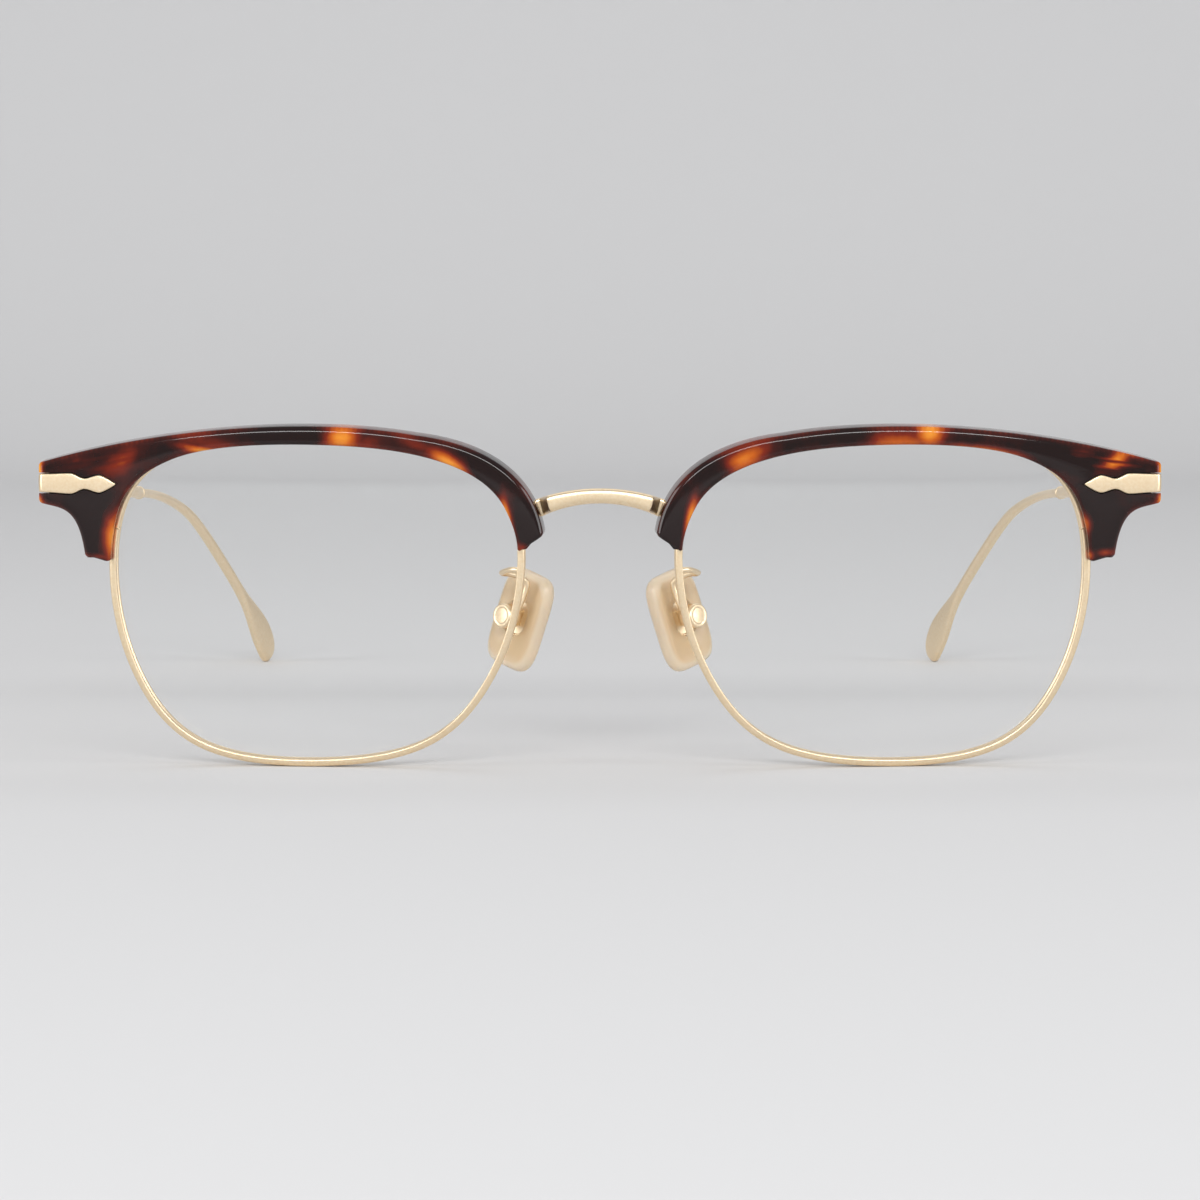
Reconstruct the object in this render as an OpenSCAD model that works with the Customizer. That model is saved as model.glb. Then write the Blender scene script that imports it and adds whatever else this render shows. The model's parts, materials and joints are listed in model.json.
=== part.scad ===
// Browline glasses: two acetate brows over thin metal rims, a metal bridge, metal
// end pieces let into the brows, silicone nose pads on bent arms, and slim folding
// temples that end in flat paddles. They stand on a table on the two rims and the
// two temple tips. The front faces -Y, the wearer's left is +X, and +Z is up.
// The left half is modelled and the right half is its mirror image. All in mm.

/* [Front] */
// Width of the opening of each rim
eye_w = 51.8; // [49:0.5:54]
// Height of the opening of each rim
eye_h = 41.2; // [38:0.5:43]
// Distance between the two openings at the nose
nose_w = 21; // [19.5:0.1:23.5]
// Reach of each brow's outer end beyond the rim's opening
lug_out = 10.1; // [9.6:0.1:11]
// Radius of the sphere that rims, lenses and brows follow
base_r = 180; // [150:5:260]
// Angle by which each eye turns back at its outer side
wrap = 4; // [2:0.5:6]
// Angle by which the front leans forwards
lean = 4.5; // [3:0.5:7]

/* [Rims and lenses] */
// Thickness of the rim wire, seen from the front
rim_t = 0.95; // [0.85:0.05:1.2]
// Depth of the rim wire, from front to back
rim_d = 1.9; // [1.7:0.1:2.2]
// Depth of the groove that holds the lens
groove_d = 0.4; // [0.3:0.05:0.45]
// Thickness of the lens
lens_t = 1.6; // [1.2:0.1:1.7]

/* [Brows] */
// Height of the brow above the rim's opening
brow_h = 2.3; // [2:0.05:2.9]
// Depth of the brow, from front to back
brow_d = 4; // [3.6:0.1:4.6]
// Thickness of the brow in front of the rim
lip_t = 1.35; // [1.2:0.05:1.6]
// Width of the bevel round the front of the brow
bevel = 0.45; // [0.3:0.05:0.8]
// Height of the brow at its outer end
lug_h = 5.4; // [4.8:0.1:5.8]

/* [End pieces] */
// Length of the inlaid plaque
plaque_l = 10.5; // [9.6:0.1:11.2]
// Height of the metal strap that the plaque is part of
strap_h = 2.35; // [2.1:0.05:2.6]
// Thickness of the metal strap
strap_t = 1.2; // [1:0.05:1.4]
// Thickness of the plaque
plaque_t = 0.9; // [0.7:0.05:1.1]

/* [Bridge] */
// Height of the bridge's bar, seen from the front
bridge_h = 1.95; // [1.7:0.05:2.3]
// Radius of the upper edge of the bridge's arch
bridge_r = 25; // [22:0.5:30]
// Radius of its lower edge
bridge_under_r = 17.5; // [16:0.5:20]
// Depth of the bridge's bar
bridge_d = 1.7; // [1.4:0.1:2]

/* [Hinges] */
// Radius of the hinge's barrels
barrel_r = 1.15; // [1.05:0.05:1.3]
// Height of the whole hinge
hinge_h = 4.4; // [4:0.1:4.8]
// Radius of the hinge screw's shank
hinge_screw_r = 0.5; // [0.4:0.05:0.6]
// Running clearance round each screw and pin
run_gap = 0.04; // [0.02:0.01:0.06]

/* [Temples] */
// Length of the thick front bar, from the hinge to its collar
bar_l = 72; // [64:0.5:80]
// Angle by which the open temples turn towards each other
toe_in = 0.6; // [0:0.1:1.5]
// Diameter of the front bar
bar_dia = 1.7; // [1.5:0.05:1.9]
// Diameter of the collar at the bar's end
collar_dia = 2; // [1.95:0.05:2.4]
// Diameter of the wire behind the collar
wire_dia = 1.35; // [1.2:0.05:1.5]
// Width of the paddle
paddle_w = 5.2; // [4.4:0.1:6]
// Thickness of the paddle
paddle_t = 1.3; // [1.1:0.05:1.6]

/* [Nose pads] */
// Length of a nose pad
pad_l = 13; // [12:0.1:14]
// Width of a nose pad
pad_w = 8.5; // [7.4:0.1:8.8]
// Thickness of a nose pad
pad_t = 2.2; // [1.9:0.1:2.4]
// Diameter of the wire of the pad arm
arm_dia = 0.75; // [0.65:0.05:0.85]
// Diameter of the round pad box
box_dia = 3.2; // [3:0.1:3.5]
// Radius of the pad pin
pad_pin_r = 0.35; // [0.3:0.05:0.4]

/* [Hidden] */

// Gap between two pieces that lie on each other
seat = 0.05;
// Number of facets of a true circle
$fn = 48;

acetate = [0.24, 0.08, 0.04];
gold = [0.84, 0.76, 0.62];
clear = [0.85, 0.9, 0.92, 0.3];
silicone = [0.85, 0.75, 0.6, 0.8];

// Shape of the rim: the control points of a closed smooth curve, from the outer
// side upwards, where 1 is half the width or half the height of the opening
rim_points = [[1.02, 0], [0.99, 0.66], [0.69, 0.97], [-0.01, 1.01], [-0.6, 0.95],
    [-1.02, 0.68], [-1, -0.01], [-0.85, -0.51], [-0.57, -0.93], [0, -1.02],
    [0.62, -0.97], [0.89, -0.55]];
// Where each point of the curve lies: 0 at the outer side, 3 at the top, 6 at the nose
rim_turn = len(rim_points);
// Place on the curve of the joint that opens the rim
lock_at = 0.7;
// Place on the curve of the pad arm's foot
arm_at = 5.72;
rim_steps = 66;

eye_x = (nose_w + eye_w) / 2;
lug_u = eye_w / 2 + lug_out;
lug_v = 14.9;
brow_front = -rim_d / 2 - seat - lip_t;
brow_back = brow_front + brow_d;
rebate = rim_t + seat;

function unit(v) = v / norm(v);
function mix(a, b, f) = a + (b - a) * f;
function smooth(a, b, x) = let (f = max(0, min(1, (x - a) / (b - a)))) f * f * (3 - 2 * f);
function round_to(r, x) = sqrt(max(0, r * r - x * x));

// A point of the closed cubic spline through the neighbourhood of its control points
function spline(p, t) = let (n = len(p), i = floor(t), f = t - i, g = 1 - f)
    (g * g * g * p[(i + n - 1) % n] + (3 * f * f * f - 6 * f * f + 4) * p[i % n]
        + (3 * g * g * g - 6 * g * g + 4) * p[(i + 1) % n] + f * f * f * p[(i + 2) % n]) / 6;
function bezier(p, f) = let (g = 1 - f)
    g * g * g * p[0] + 3 * g * g * f * p[1] + 3 * g * f * f * p[2] + f * f * f * p[3];

// The rim's opening: a point of its edge, and the direction away from the opening
function rim_edge(t) = let (p = spline(rim_points, (t + rim_turn) % rim_turn))
    [p.x * eye_w / 2, p.y * eye_h / 2];
function rim_out(t) = let (d = unit(rim_edge(t + 0.01) - rim_edge(t - 0.01))) [d.y, -d.x];
function rim_offset(t, away) = rim_edge(t) + rim_out(t) * away;

// Depth of the sphere below the middle of the eye, and a point at a depth from it
function sag(p) = base_r - sqrt(base_r * base_r - p.x * p.x - p.y * p.y);
function on_eye(p, depth) = [p.x, sag(p) + depth, p.y];

// From the eye's own axes to those of the front, before it leans
function eye_to_front(p) = [eye_x + p.x * cos(wrap) - p.y * sin(wrap),
    p.x * sin(wrap) + p.y * cos(wrap), p.z];
function lean_over(p) = [p.x, p.y * cos(lean) - p.z * sin(lean),
    p.y * sin(lean) + p.z * cos(lean)];
function drop_back(p) = let (y = p.x * sin(toe_in) + p.y * cos(toe_in))
    [p.x * cos(toe_in) - p.y * sin(toe_in), y * cos(slope) + p.z * sin(slope),
        -y * sin(slope) + p.z * cos(slope)];

// Triangles of a skin over rings of k points, with both ends closed by a fan that
// starts at the ring's point c
function skin(n, k) = [for (i = [0 : n - 2], j = [0 : k - 1])
    let (a = i * k + j, b = i * k + (j + 1) % k) each [[a, b + k, b], [a, a + k, b + k]]];
function fan(first, k, c) = [for (m = [1 : k - 2])
    [first + c, first + (c + m) % k, first + (c + m + 1) % k]];
function turned(faces) = [for (f = faces) [f[2], f[1], f[0]]];
module loft(rings, c = 0) {
    n = len(rings);
    k = len(rings[0]);
    polyhedron([for (r = rings) each r],
        concat(skin(n, k), fan(0, k, c), turned(fan((n - 1) * k, k, c))), 10);
}

module on_front() translate([0, front_y, front_z]) rotate([lean, 0, 0]) children();
module on_eye_axes() on_front() translate([eye_x, 0, 0]) rotate([0, 0, wrap]) children();
module mirrored() mirror([1, 0, 0]) children();

// Rim wire: an open ring whose grooved section follows the lens
rim_section = let (h = rim_d / 2, groove_w = 0.38, soft = 0.22, round = 0.42)
    [[groove_d, 0], [0, groove_w], [0, h - soft], [soft, h], [rim_t - round, h],
        [rim_t, h - round], [rim_t, round - h], [rim_t - round, -h], [soft, -h],
        [0, soft - h], [0, -groove_w]];
rim_gap = 0.005;
function rim_ring(t) = [for (s = rim_section) on_eye(rim_offset(t, s.x), s.y)];
rim_rings = [for (i = [0 : rim_steps])
    rim_ring(lock_at + rim_gap + (rim_turn - 2 * rim_gap) * i / rim_steps)];

module rim() color(gold) on_eye_axes() loft(rim_rings);

// The front stands on the lowest point of the leaning rims
front_z = -min([for (r = rim_rings, p = r) lean_over(eye_to_front(p)).z]);

// Lens: a shell between two spheres, cut to the rim's outline, with a bevelled edge
bevel_w = 0.33;
lens_gap = 0.03;
lens_reach = 9;
function lens_ring(t) = let (p = rim_offset(t, -lens_gap), q = rim_offset(t, groove_d - 0.08))
    [[p.x, -lens_reach, p.y], on_eye(p, -bevel_w), on_eye(q, 0), on_eye(p, bevel_w),
        [p.x, lens_reach + sag(p), p.y]];
module lens() color(clear) on_eye_axes() intersection() {
    k = 5;
    n = rim_steps;
    polyhedron([for (i = [0 : n - 1]) each lens_ring(rim_turn * i / n)],
        concat([for (i = [0 : n - 1], j = [0 : k - 2])
            let (a = i * k + j, b = ((i + 1) % n) * k + j)
                each [[a, a + 1, b + 1], [a, b + 1, b]]],
            [for (i = [1 : n - 2]) [0, i * k, (i + 1) * k]],
            [for (i = [1 : n - 2]) [k - 1, (i + 1) * k + k - 1, i * k + k - 1]]), 10);
    translate([0, base_r, 0]) difference() {
        sphere(base_r + lens_t / 2, $fn = 240);
        sphere(base_r - lens_t / 2, $fn = 240);
    }
}

// Brow: a ribbon between the rim and an outer edge of four curves. Its ends are
// the nasal tip and the foot of the leg beside the rim.
brow_top = eye_h / 2 + brow_h;
lug_r = 0.6;
nasal_corner = [-eye_w / 2 - 3.1, 8.9];
shoulder = [-eye_w / 4, brow_top - 1.2];
lug_top = [lug_u - lug_r, lug_v + lug_h / 2];
lug_foot = [lug_u - lug_r, lug_v - lug_h / 2];
leg_corner = [eye_w / 2 + 3.9, 5.5];
brow_curves = [
    [nasal_corner, [-eye_w / 2 - 2.4, 15.3], [-eye_w / 2 + 2.5, brow_top - 2.45],
        shoulder],
    [shoulder, [0.2, brow_top + 1.15], [eye_w / 2 - 6.6, brow_top - 0.4], lug_top],
    [lug_foot, [lug_u - 3.1, lug_foot.y - 0.6], [leg_corner.x + 0.8, 12.1], leg_corner]];
// Places on the rim's curve that lie opposite the ends of those curves
brow_span = [5.5, 3.8, 1.5, 1.2, 0.37];
function lug_corner(f) = let (turn = f < 0.5 ? f : f - 0.5, side = f < 0.5 ? 1 : -1)
    [lug_u - lug_r, lug_v + side * (lug_h / 2 - lug_r)]
        + lug_r * (side > 0 ? [sin(180 * turn), cos(180 * turn)]
            : [cos(180 * turn), -sin(180 * turn)]);
lug_turns = [0, 0.17, 0.33, 0.4999, 0.5, 0.67, 0.83, 1];
brow_stations = concat(
    [for (i = [0 : 15]) [mix(brow_span[0], brow_span[1], i / 16),
        bezier(brow_curves[0], i / 16)]],
    [for (i = [0 : 19]) [mix(brow_span[1], brow_span[2], i / 20),
        bezier(brow_curves[1], i / 20)]],
    [for (f = lug_turns) [mix(brow_span[2], brow_span[3], f), lug_corner(f)]],
    [for (i = [1 : 16]) [mix(brow_span[3], brow_span[4], i / 16),
        bezier(brow_curves[2], i / 16)]]);
brow_last = len(brow_stations) - 1;
// The brow covers the rim at the nose and uncovers its inner edge at the temple
function brow_inset(t) = mix(mix(0.5, -0.07, smooth(0.9, 1.8, t)),
    mix(-0.23, -0.08, smooth(5, 5.5, t)), smooth(3.6, 4.8, t));
function brow_outward(i) = let (a = brow_stations[max(0, i - 1)][1],
    b = brow_stations[min(brow_last, i + 1)][1], d = unit(b - a)) [-d.y, d.x];
function brow_ring(i) = let (t = brow_stations[i][0], out = rim_out(t),
    inner = rim_offset(t, brow_inset(t)), step = rim_offset(t, rebate),
    outer = brow_stations[i][1], away = brow_outward(i), soft = 0.3,
    ending = i == 0 || i == brow_last ? 0.3 : 0,
    face = brow_front + ending, crown = 0.1,
    a = inner + out * 0.35, b = outer - away * bevel)
    [on_eye(step, brow_back), on_eye(step, -rim_d / 2 - seat),
        on_eye(inner, -rim_d / 2 - seat), on_eye(inner, face + 0.35),
        on_eye(a, face), on_eye(mix(a, b, 0.5), face - crown), on_eye(b, face),
        on_eye(outer, face + bevel * 0.85), on_eye(outer, brow_back - soft),
        on_eye(outer - away * soft, brow_back)];

module brow() color(acetate) on_eye_axes() difference() {
    loft([for (i = [0 : brow_last]) brow_ring(i)], 1);
    on_lug() linear_pocket();
    lock_pocket();
    for (s = brow_screw_places) screw_hole(s);
}

// The end piece lies in the lug: axes along the strap, depth 0 at the brow's face
lug_tilt = asin(lug_v / base_r);
lug_front = sag([lug_u, lug_v]) + brow_front;
module on_lug() translate([0, lug_front, lug_v]) rotate([-lug_tilt, 0, 0]) children();
function lug_face(u) = sag([u, lug_v]) - sag([lug_u, lug_v]);
proud = 0.12;
pocket_gap = 0.12;

// Half height of the plaque at a distance from the brow's end: the strap's height, a
// swelling, a waist, a second swelling and a point
function plaque_half(s) = let (k = plaque_l / 10.5)
    s < 4.3 * k ? mix(strap_h / 2 + 0.03, 1.33, smooth(1.2 * k, 4.3 * k, s))
        : s < 8.3 * k ? mix(mix(1.33, 0.7, smooth(4.4 * k, 6.3 * k, s)), 1.14,
            smooth(6.3 * k, 8.3 * k, s))
        : 1.14 * pow(max(0, 1 - pow((s - 8.3 * k) / (2.2 * k), 1.25)), 0.9);
plaque_steps = 30;
function plaque_outline(grow) = let (
    s = [for (i = [0 : plaque_steps]) plaque_l * (1 - pow(1 - i / plaque_steps, 1.3))],
    p = [for (x = s) [lug_u - x, plaque_half(x)]])
    concat([[lug_u + 2, p[0].y + grow]],
        [for (i = [0 : plaque_steps - 1]) [p[i].x, p[i].y + grow]],
        [[p[plaque_steps].x - grow, 0]],
        [for (i = [plaque_steps - 1 : -1 : 0]) [p[i].x, -p[i].y - grow]],
        [[lug_u + 2, -p[0].y - grow]]);

// Side profile of the strap seen from above: the plaque, a rounded corner at the
// brow's end, and the leg that runs back past the brow
corner_r = 0.8;
leg_back = brow_d + 0.6;
function strap_profile() = let (end = lug_u - 0.03)
    concat([for (x = [lug_u - plaque_l - 1 : 1 : end - corner_r]) [x, lug_face(x) - proud]],
        [for (a = [0 : 15 : 90]) [end - corner_r + corner_r * sin(a),
            lug_face(end - corner_r) - proud + corner_r * (1 - cos(a))]],
        [[end, leg_back], [end - strap_t, leg_back],
            [end - strap_t, lug_face(end - strap_t) - proud + plaque_t]],
        [for (x = [end - strap_t - 1.6 : -1 : lug_u - plaque_l - 1])
            [x, lug_face(x) - proud + plaque_t]]);
module along_lug(h) rotate([90, 0, 0]) mirror([0, 0, 1]) linear_extrude(h) children();
module strap() intersection() {
    translate([0, 0, -2]) linear_extrude(4) polygon(strap_profile());
    translate([0, -3, 0]) along_lug(leg_back + 4) polygon(plaque_outline(0));
}

// The pocket for the plaque, and the notch for the leg at the brow's end
module linear_pocket() {
    translate([0, -4, 0]) along_lug(4 + plaque_t - proud + pocket_gap)
        polygon(plaque_outline(pocket_gap));
    translate([lug_u - strap_t - pocket_gap, -4, -strap_h / 2 - 0.03 - pocket_gap])
        cube([strap_t + 3, brow_d + 9, strap_h + 0.06 + 2 * pocket_gap]);
}

// Back plate: from the leg along the brow's back to the rim's lock
plate_t = 0.9;
plate_gap = 0.16;
plate_in = 6.4;
module back_plate() intersection() {
    translate([0, 0, -9]) linear_extrude(12) polygon(concat(
        [for (x = [lug_u - 11 : 1 : lug_u]) [x, lug_face(x) + brow_d + plate_gap]],
        [for (x = [lug_u : -1 : lug_u - 11])
            [x, lug_face(x) + brow_d + plate_gap + plate_t]]));
    translate([0, -1, 0]) along_lug(12) polygon([[lug_u - 0.1, strap_h / 2],
        [lug_u - 6, 1.9], [lug_u - 9.5, 0.6], [lug_u - 9.9, -2],
        [lug_u - 9.9, -plate_in + 1.6], [lug_u - 7.6, -plate_in + 1.6],
        [lug_u - 6.5, -2.6], [lug_u - 3.5, -strap_h / 2], [lug_u - 0.1, -strap_h / 2]]);
}

// Lock of the rim: two blocks soldered to the wire's ends, drawn together by a screw
lock_point = rim_edge(lock_at);
lock_lean = atan2(rim_out(lock_at).y, rim_out(lock_at).x);
module at_lock() translate(on_eye(lock_point, 0)) rotate([0, -lock_lean, 0]) children();
lock_w = 2.3;
lock_back = 1.75;
lock_half = 1.6;
lock_split = 0.14;
lock_screw_x = rim_t + lock_w / 2 + 0.05;
lock_screw_r = 0.45;
lock_depth = (lock_back - rim_d / 2) / 2;
module lock_block() translate([rim_t + seat, -rim_d / 2, lock_split])
    cube([lock_w, rim_d / 2 + lock_back, lock_half - lock_split]);
module lock_hole(r) translate([lock_screw_x, lock_depth, -lock_half - 1])
    cylinder(r = r, h = 2 * lock_half + 0.6);
module rim_lock() color(gold) on_eye_axes() at_lock() difference() {
    union() {
        lock_block();
        mirror([0, 0, 1]) lock_block();
    }
    lock_hole(lock_screw_r + run_gap);
}
lock_head_r = 0.8;
lock_head_h = 0.55;
module lock_screw() color(gold) on_eye_axes() at_lock()
    translate([lock_screw_x, lock_depth, -lock_half - seat]) difference() {
        union() {
            cylinder(r = lock_screw_r, h = 2 * lock_half - 0.5);
            translate([0, 0, -lock_head_h]) cylinder(r = lock_head_r, h = lock_head_h);
        }
        translate([-1, -0.12, -lock_head_h - 1]) cube([2, 0.24, 1.25]);
    }
// Room for the lock in the back of the brow, open below for the screwdriver
module lock_pocket() at_lock() translate([0, -rim_d / 2 - seat, -9])
    cube([rebate + lock_w + 0.2, brow_d, 9 + lock_half + 0.15]);

// Screws that hold each brow: one through the back plate, one through the bridge
brow_screw_r = 0.6;
brow_screw_in = 2;
brow_screw_head = 0.5;
lug_screw = [lug_u - 4.7, lug_v];
nasal_screw = [-eye_w / 2 - 1.35, 10.3];
brow_screw_places = [lug_screw, nasal_screw];
module at_screw(p) translate(on_eye(p, brow_back)) rotate([0, 0, asin(p.x / base_r)])
    rotate([-asin(p.y / base_r), 0, 0]) rotate([90, 0, 0]) children();
module screw_hole(p) at_screw(p) translate([0, 0, -1])
    cylinder(r = brow_screw_r + run_gap, h = brow_screw_in + 1.1);
module brow_screws() color(gold) on_eye_axes() for (p = brow_screw_places) at_screw(p)
    translate([0, 0, -plate_gap - plate_t - seat]) difference() {
        union() {
            cylinder(r = brow_screw_r, h = brow_screw_in + plate_gap + plate_t);
            translate([0, 0, -brow_screw_head]) cylinder(r = 1.05, h = brow_screw_head);
        }
        translate([-2, -0.14, -brow_screw_head - 1]) cube([4, 0.28, 1.22]);
    }

// Bridge: an arched bar whose ends step back behind the brows, cut from a ring
bridge_v = 14.9;
// Angle by which the bar bends down towards its ends behind the brows
bridge_dip = 8;
bridge_face = -0.9;
bridge_reach = nose_w / 2 + 0.55;
function behind_brow(x, v) = let (u = (x - eye_x) / cos(wrap))
    eye_to_front([u, sag([u, v]) + brow_back, v]).y + plate_gap;
bridge_bar = 6.7;
bridge_tab = 7.8;
bridge_top = let (y0 = behind_brow(bridge_tab, 11.5), y1 = behind_brow(bridge_reach, 9.5),
    rear = bridge_face + bridge_d)
    [[bridge_bar, bridge_face], [bridge_tab, y0], [bridge_reach, y1],
        [bridge_reach, y1 + plate_t], [bridge_tab - 0.5, y0 + plate_t],
        [bridge_bar - 1, rear]];
module bridge_disc(top, r, edge) translate([0, bridge_face, top])
    rotate([90 - bridge_dip, 0, 0]) translate([0, -r, 0]) rotate_extrude($fn = 96)
        polygon([[0, -9], [r, -9], [r, -0.3], [r + edge, 0], [r + edge, 2], [0, 2]]);
// The step lies between the bar and the tab. Seen from the front it leans like the
// brow beside it, about a point at this height
step_lean = 14;
step_v = 12.7;
module bridge_plan() translate([bridge_tab, 0, step_v]) rotate([0, step_lean, 0])
    translate([-bridge_tab, 0, -bridge_h * 3]) linear_extrude(bridge_h * 6)
        polygon(concat([[-bridge_h, bridge_top[0].y]], bridge_top,
            [[-bridge_h, bridge_top[5].y]]));
module bridge() color(gold) on_front() difference() {
    intersection() {
        difference() {
            bridge_disc(bridge_v, bridge_r, -0.3);
            bridge_disc(bridge_v - bridge_h, bridge_under_r, 0.3);
        }
        union() {
            bridge_plan();
            mirror([1, 0, 0]) bridge_plan();
        }
    }
    for (m = [0, 1]) mirror([m, 0, 0]) translate([eye_x, 0, 0]) rotate([0, 0, wrap])
        screw_hole_through(nasal_screw);
}
module screw_hole_through(p) at_screw(p) translate([0, 0, -plate_gap - plate_t - 2])
    cylinder(r = brow_screw_r + run_gap, h = plate_t + 3);

// Hinge axes. The kink is where the strap's leg turns down towards the temple
kink_eye = let (x = lug_u - 0.03 - strap_t / 2, y = leg_back)
    [x, lug_front + y * cos(lug_tilt), lug_v - y * sin(lug_tilt)];
kink = let (p = lean_over(eye_to_front(kink_eye))) [p.x, p.y, p.z + front_z];
leg_l = 3.6;
hinge_in = barrel_r + seat + strap_t / 2;
module at_hinge() translate([hinge.x, hinge.y + front_y, hinge.z]) rotate([-slope, 0, 0])
    children();

barrel_gap = 0.05;
module at_temple() at_hinge() rotate([0, 0, toe_in]) children();
knuckle = (hinge_h - 2 * barrel_gap) / 3;
strap_x = hinge_in - strap_t / 2;
module barrel(low, h) translate([0, 0, low]) cylinder(r = barrel_r, h = h);
module end_piece() color(gold) difference() {
    union() {
        on_eye_axes() on_lug() {
            strap();
            back_plate();
        }
        at_hinge() {
            translate([strap_x, -leg_l, -strap_h / 2])
                cube([strap_t, leg_l - 0.1, strap_h]);
            translate([strap_x, -leg_l, 0]) rotate([0, 90, 0])
                cylinder(d = strap_h, h = strap_t);
            translate([strap_x - 0.35, -leg_l + 0.4, -hinge_h / 2])
                cube([0.45, leg_l - 0.5, hinge_h]);
            for (z = [-hinge_h / 2, hinge_h / 2 - knuckle]) {
                barrel(z, knuckle);
                translate([0, -barrel_r, z]) cube([strap_x, barrel_r - 0.1, knuckle]);
            }
        }
    }
    at_hinge() {
        cylinder(r = hinge_screw_r + run_gap, h = 3 * hinge_h, center = true);
        cylinder(r = barrel_r + 0.12, h = knuckle + 2 * barrel_gap, center = true);
    }
    on_eye_axes() screw_hole_through(lug_screw);
}

screw_head_r = 0.95;
screw_head_h = 0.6;
module hinge_screw() color(gold) at_hinge() difference() {
    union() {
        translate([0, 0, -hinge_h / 2]) cylinder(r = hinge_screw_r, h = hinge_h + seat);
        translate([0, 0, hinge_h / 2 + seat]) cylinder(r = screw_head_r, h = screw_head_h);
    }
    translate([-2, -0.14, hinge_h / 2 + seat + screw_head_h - 0.3]) cube([4, 0.28, 2]);
}

// Temple bar: barrel, flat neck, round bar and collar
neck_l = 4;
bar_x = strap_x + strap_t / 2 - 0.1;
collar_l = 0.8;
socket_l = 3;
module temple_bar() color(gold) at_temple() difference() {
    union() {
        barrel(-knuckle / 2, knuckle);
        translate([0, 0.1, -knuckle / 2]) cube([strap_x + 0.1, barrel_r - 0.1, knuckle]);
        translate([strap_x, 0.1, -strap_h / 2]) cube([strap_t, neck_l - 0.1, strap_h]);
        translate([strap_x, neck_l, 0]) rotate([0, 90, 0])
            cylinder(d = strap_h, h = strap_t);
        translate([bar_x, neck_l - 0.5, 0]) rotate([-90, 0, 0])
            cylinder(d = bar_dia, h = bar_l - neck_l + 0.5);
        translate([bar_x, bar_l, 0]) rotate([-90, 0, 0])
            rotate_extrude() polygon(concat([[0, -collar_l], [bar_dia / 2, -collar_l]],
                [for (a = [0 : 22.5 : 90]) [collar_dia / 2 - 0.3 + 0.3 * sin(a),
                    -0.3 - 0.3 * cos(a)]],
                [for (a = [22.5 : 22.5 : 90]) [collar_dia / 2 - 0.3 + 0.3 * cos(a),
                    -0.3 + 0.3 * sin(a)]], [[0, 0]]));
    }
    cylinder(r = hinge_screw_r + run_gap, h = 3 * hinge_h, center = true);
    for (m = [0, 1]) mirror([0, 0, m]) translate([0, 0, knuckle / 2])
        cylinder(r = barrel_r + 0.12, h = hinge_h);
    translate([bar_x, bar_l - socket_l, 0]) rotate([-90, 0, 0])
        cylinder(d = wire_dia - 0.3, h = socket_l + 1);
}

// Temple tip: a wire that leaves the bar, bends down behind the ear and flattens
// into a paddle. Route in the temple's own axes, from the hinge.
tip_route = [[0, -socket_l + 0.3, 0], [0, 0.05, 0], [-0.3, 8.8, 0], [-0.7, 15.9, -0.2],
    [-1.3, 21.9, -0.7], [-2.3, 27, -1.6], [-3.6, 31.1, -3.1], [-5.1, 35.3, -5.7],
    [-7.1, 39.6, -9.6],
    [-9.4, 44.0, -14.3], [-11.7, 48.4, -19.5], [-13.4, 52.0, -24.4], [-13.7, 53.6, -27.1]];
socket_share = 1 / (len(tip_route) - 1);
tip_steps = 44;
tip_sides = 12;
function open_spline(p, f) = let (n = len(p) - 1, s = f * n, i = min(n - 1, floor(s)),
    r = s - i, a = p[max(0, i - 1)], b = p[i], c = p[i + 1], d = p[min(n, i + 2)])
    0.5 * (2 * b + (c - a) * r + (2 * a - 5 * b + 4 * c - d) * r * r
        + (3 * b - a - 3 * c + d) * r * r * r);
function tip_at(f) = [bar_x, bar_l, 0] + open_spline(tip_route, f);
// Share of the route where the wire ends and the paddle reaches its full width
flare = 0.74;
belly = 0.89;
function tip_width(f) = f < socket_share ? wire_dia - 0.34
    : f < flare ? mix(wire_dia, wire_dia + 0.5, smooth(0.2, flare, f))
    : mix(wire_dia + 0.5, paddle_w, smooth(flare, belly, f))
        * (f < belly ? 1 : round_to(1, (f - belly) / (1.002 - belly)));
function tip_thick(f) = f < socket_share ? wire_dia - 0.34
    : mix(mix(wire_dia, wire_dia + 0.3, smooth(0.2, flare, f)), paddle_t,
        smooth(flare, belly, f)) * (f < 0.94 ? 1 : 0.35 + 0.65 * round_to(1, (f - 0.94) / 0.061));
paddle_twist = 20;
function tip_ring(f) = let (t = unit(tip_at(min(1, f + 0.004)) - tip_at(max(0, f - 0.004))),
    flat = smooth(flare, belly, f), side = unit(cross(t, [-1, 0, 0])), face = cross(side, t),
    twist = paddle_twist * flat,
    w = side * cos(twist) + face * sin(twist), n = face * cos(twist) - side * sin(twist),
    p = 1 - 0.35 * flat)
    [for (j = [0 : tip_sides - 1]) let (a = 360 * (j + 0.5) / tip_sides)
        tip_at(f) + w * tip_width(f) / 2 * sign(cos(a)) * pow(abs(cos(a)), p)
            + n * tip_thick(f) / 2 * sign(sin(a)) * pow(abs(sin(a)), p)];
tip_shares = concat([0, 0.995 * socket_share, 1.012 * socket_share],
    [for (i = [1 : tip_steps])
        mix(1.012 * socket_share, 1, 1 - pow(1 - i / tip_steps, 1.25))]);
tip_rings = [for (f = tip_shares) tip_ring(f)];
module temple_tip() color(gold) at_temple() loft(tip_rings);

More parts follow.
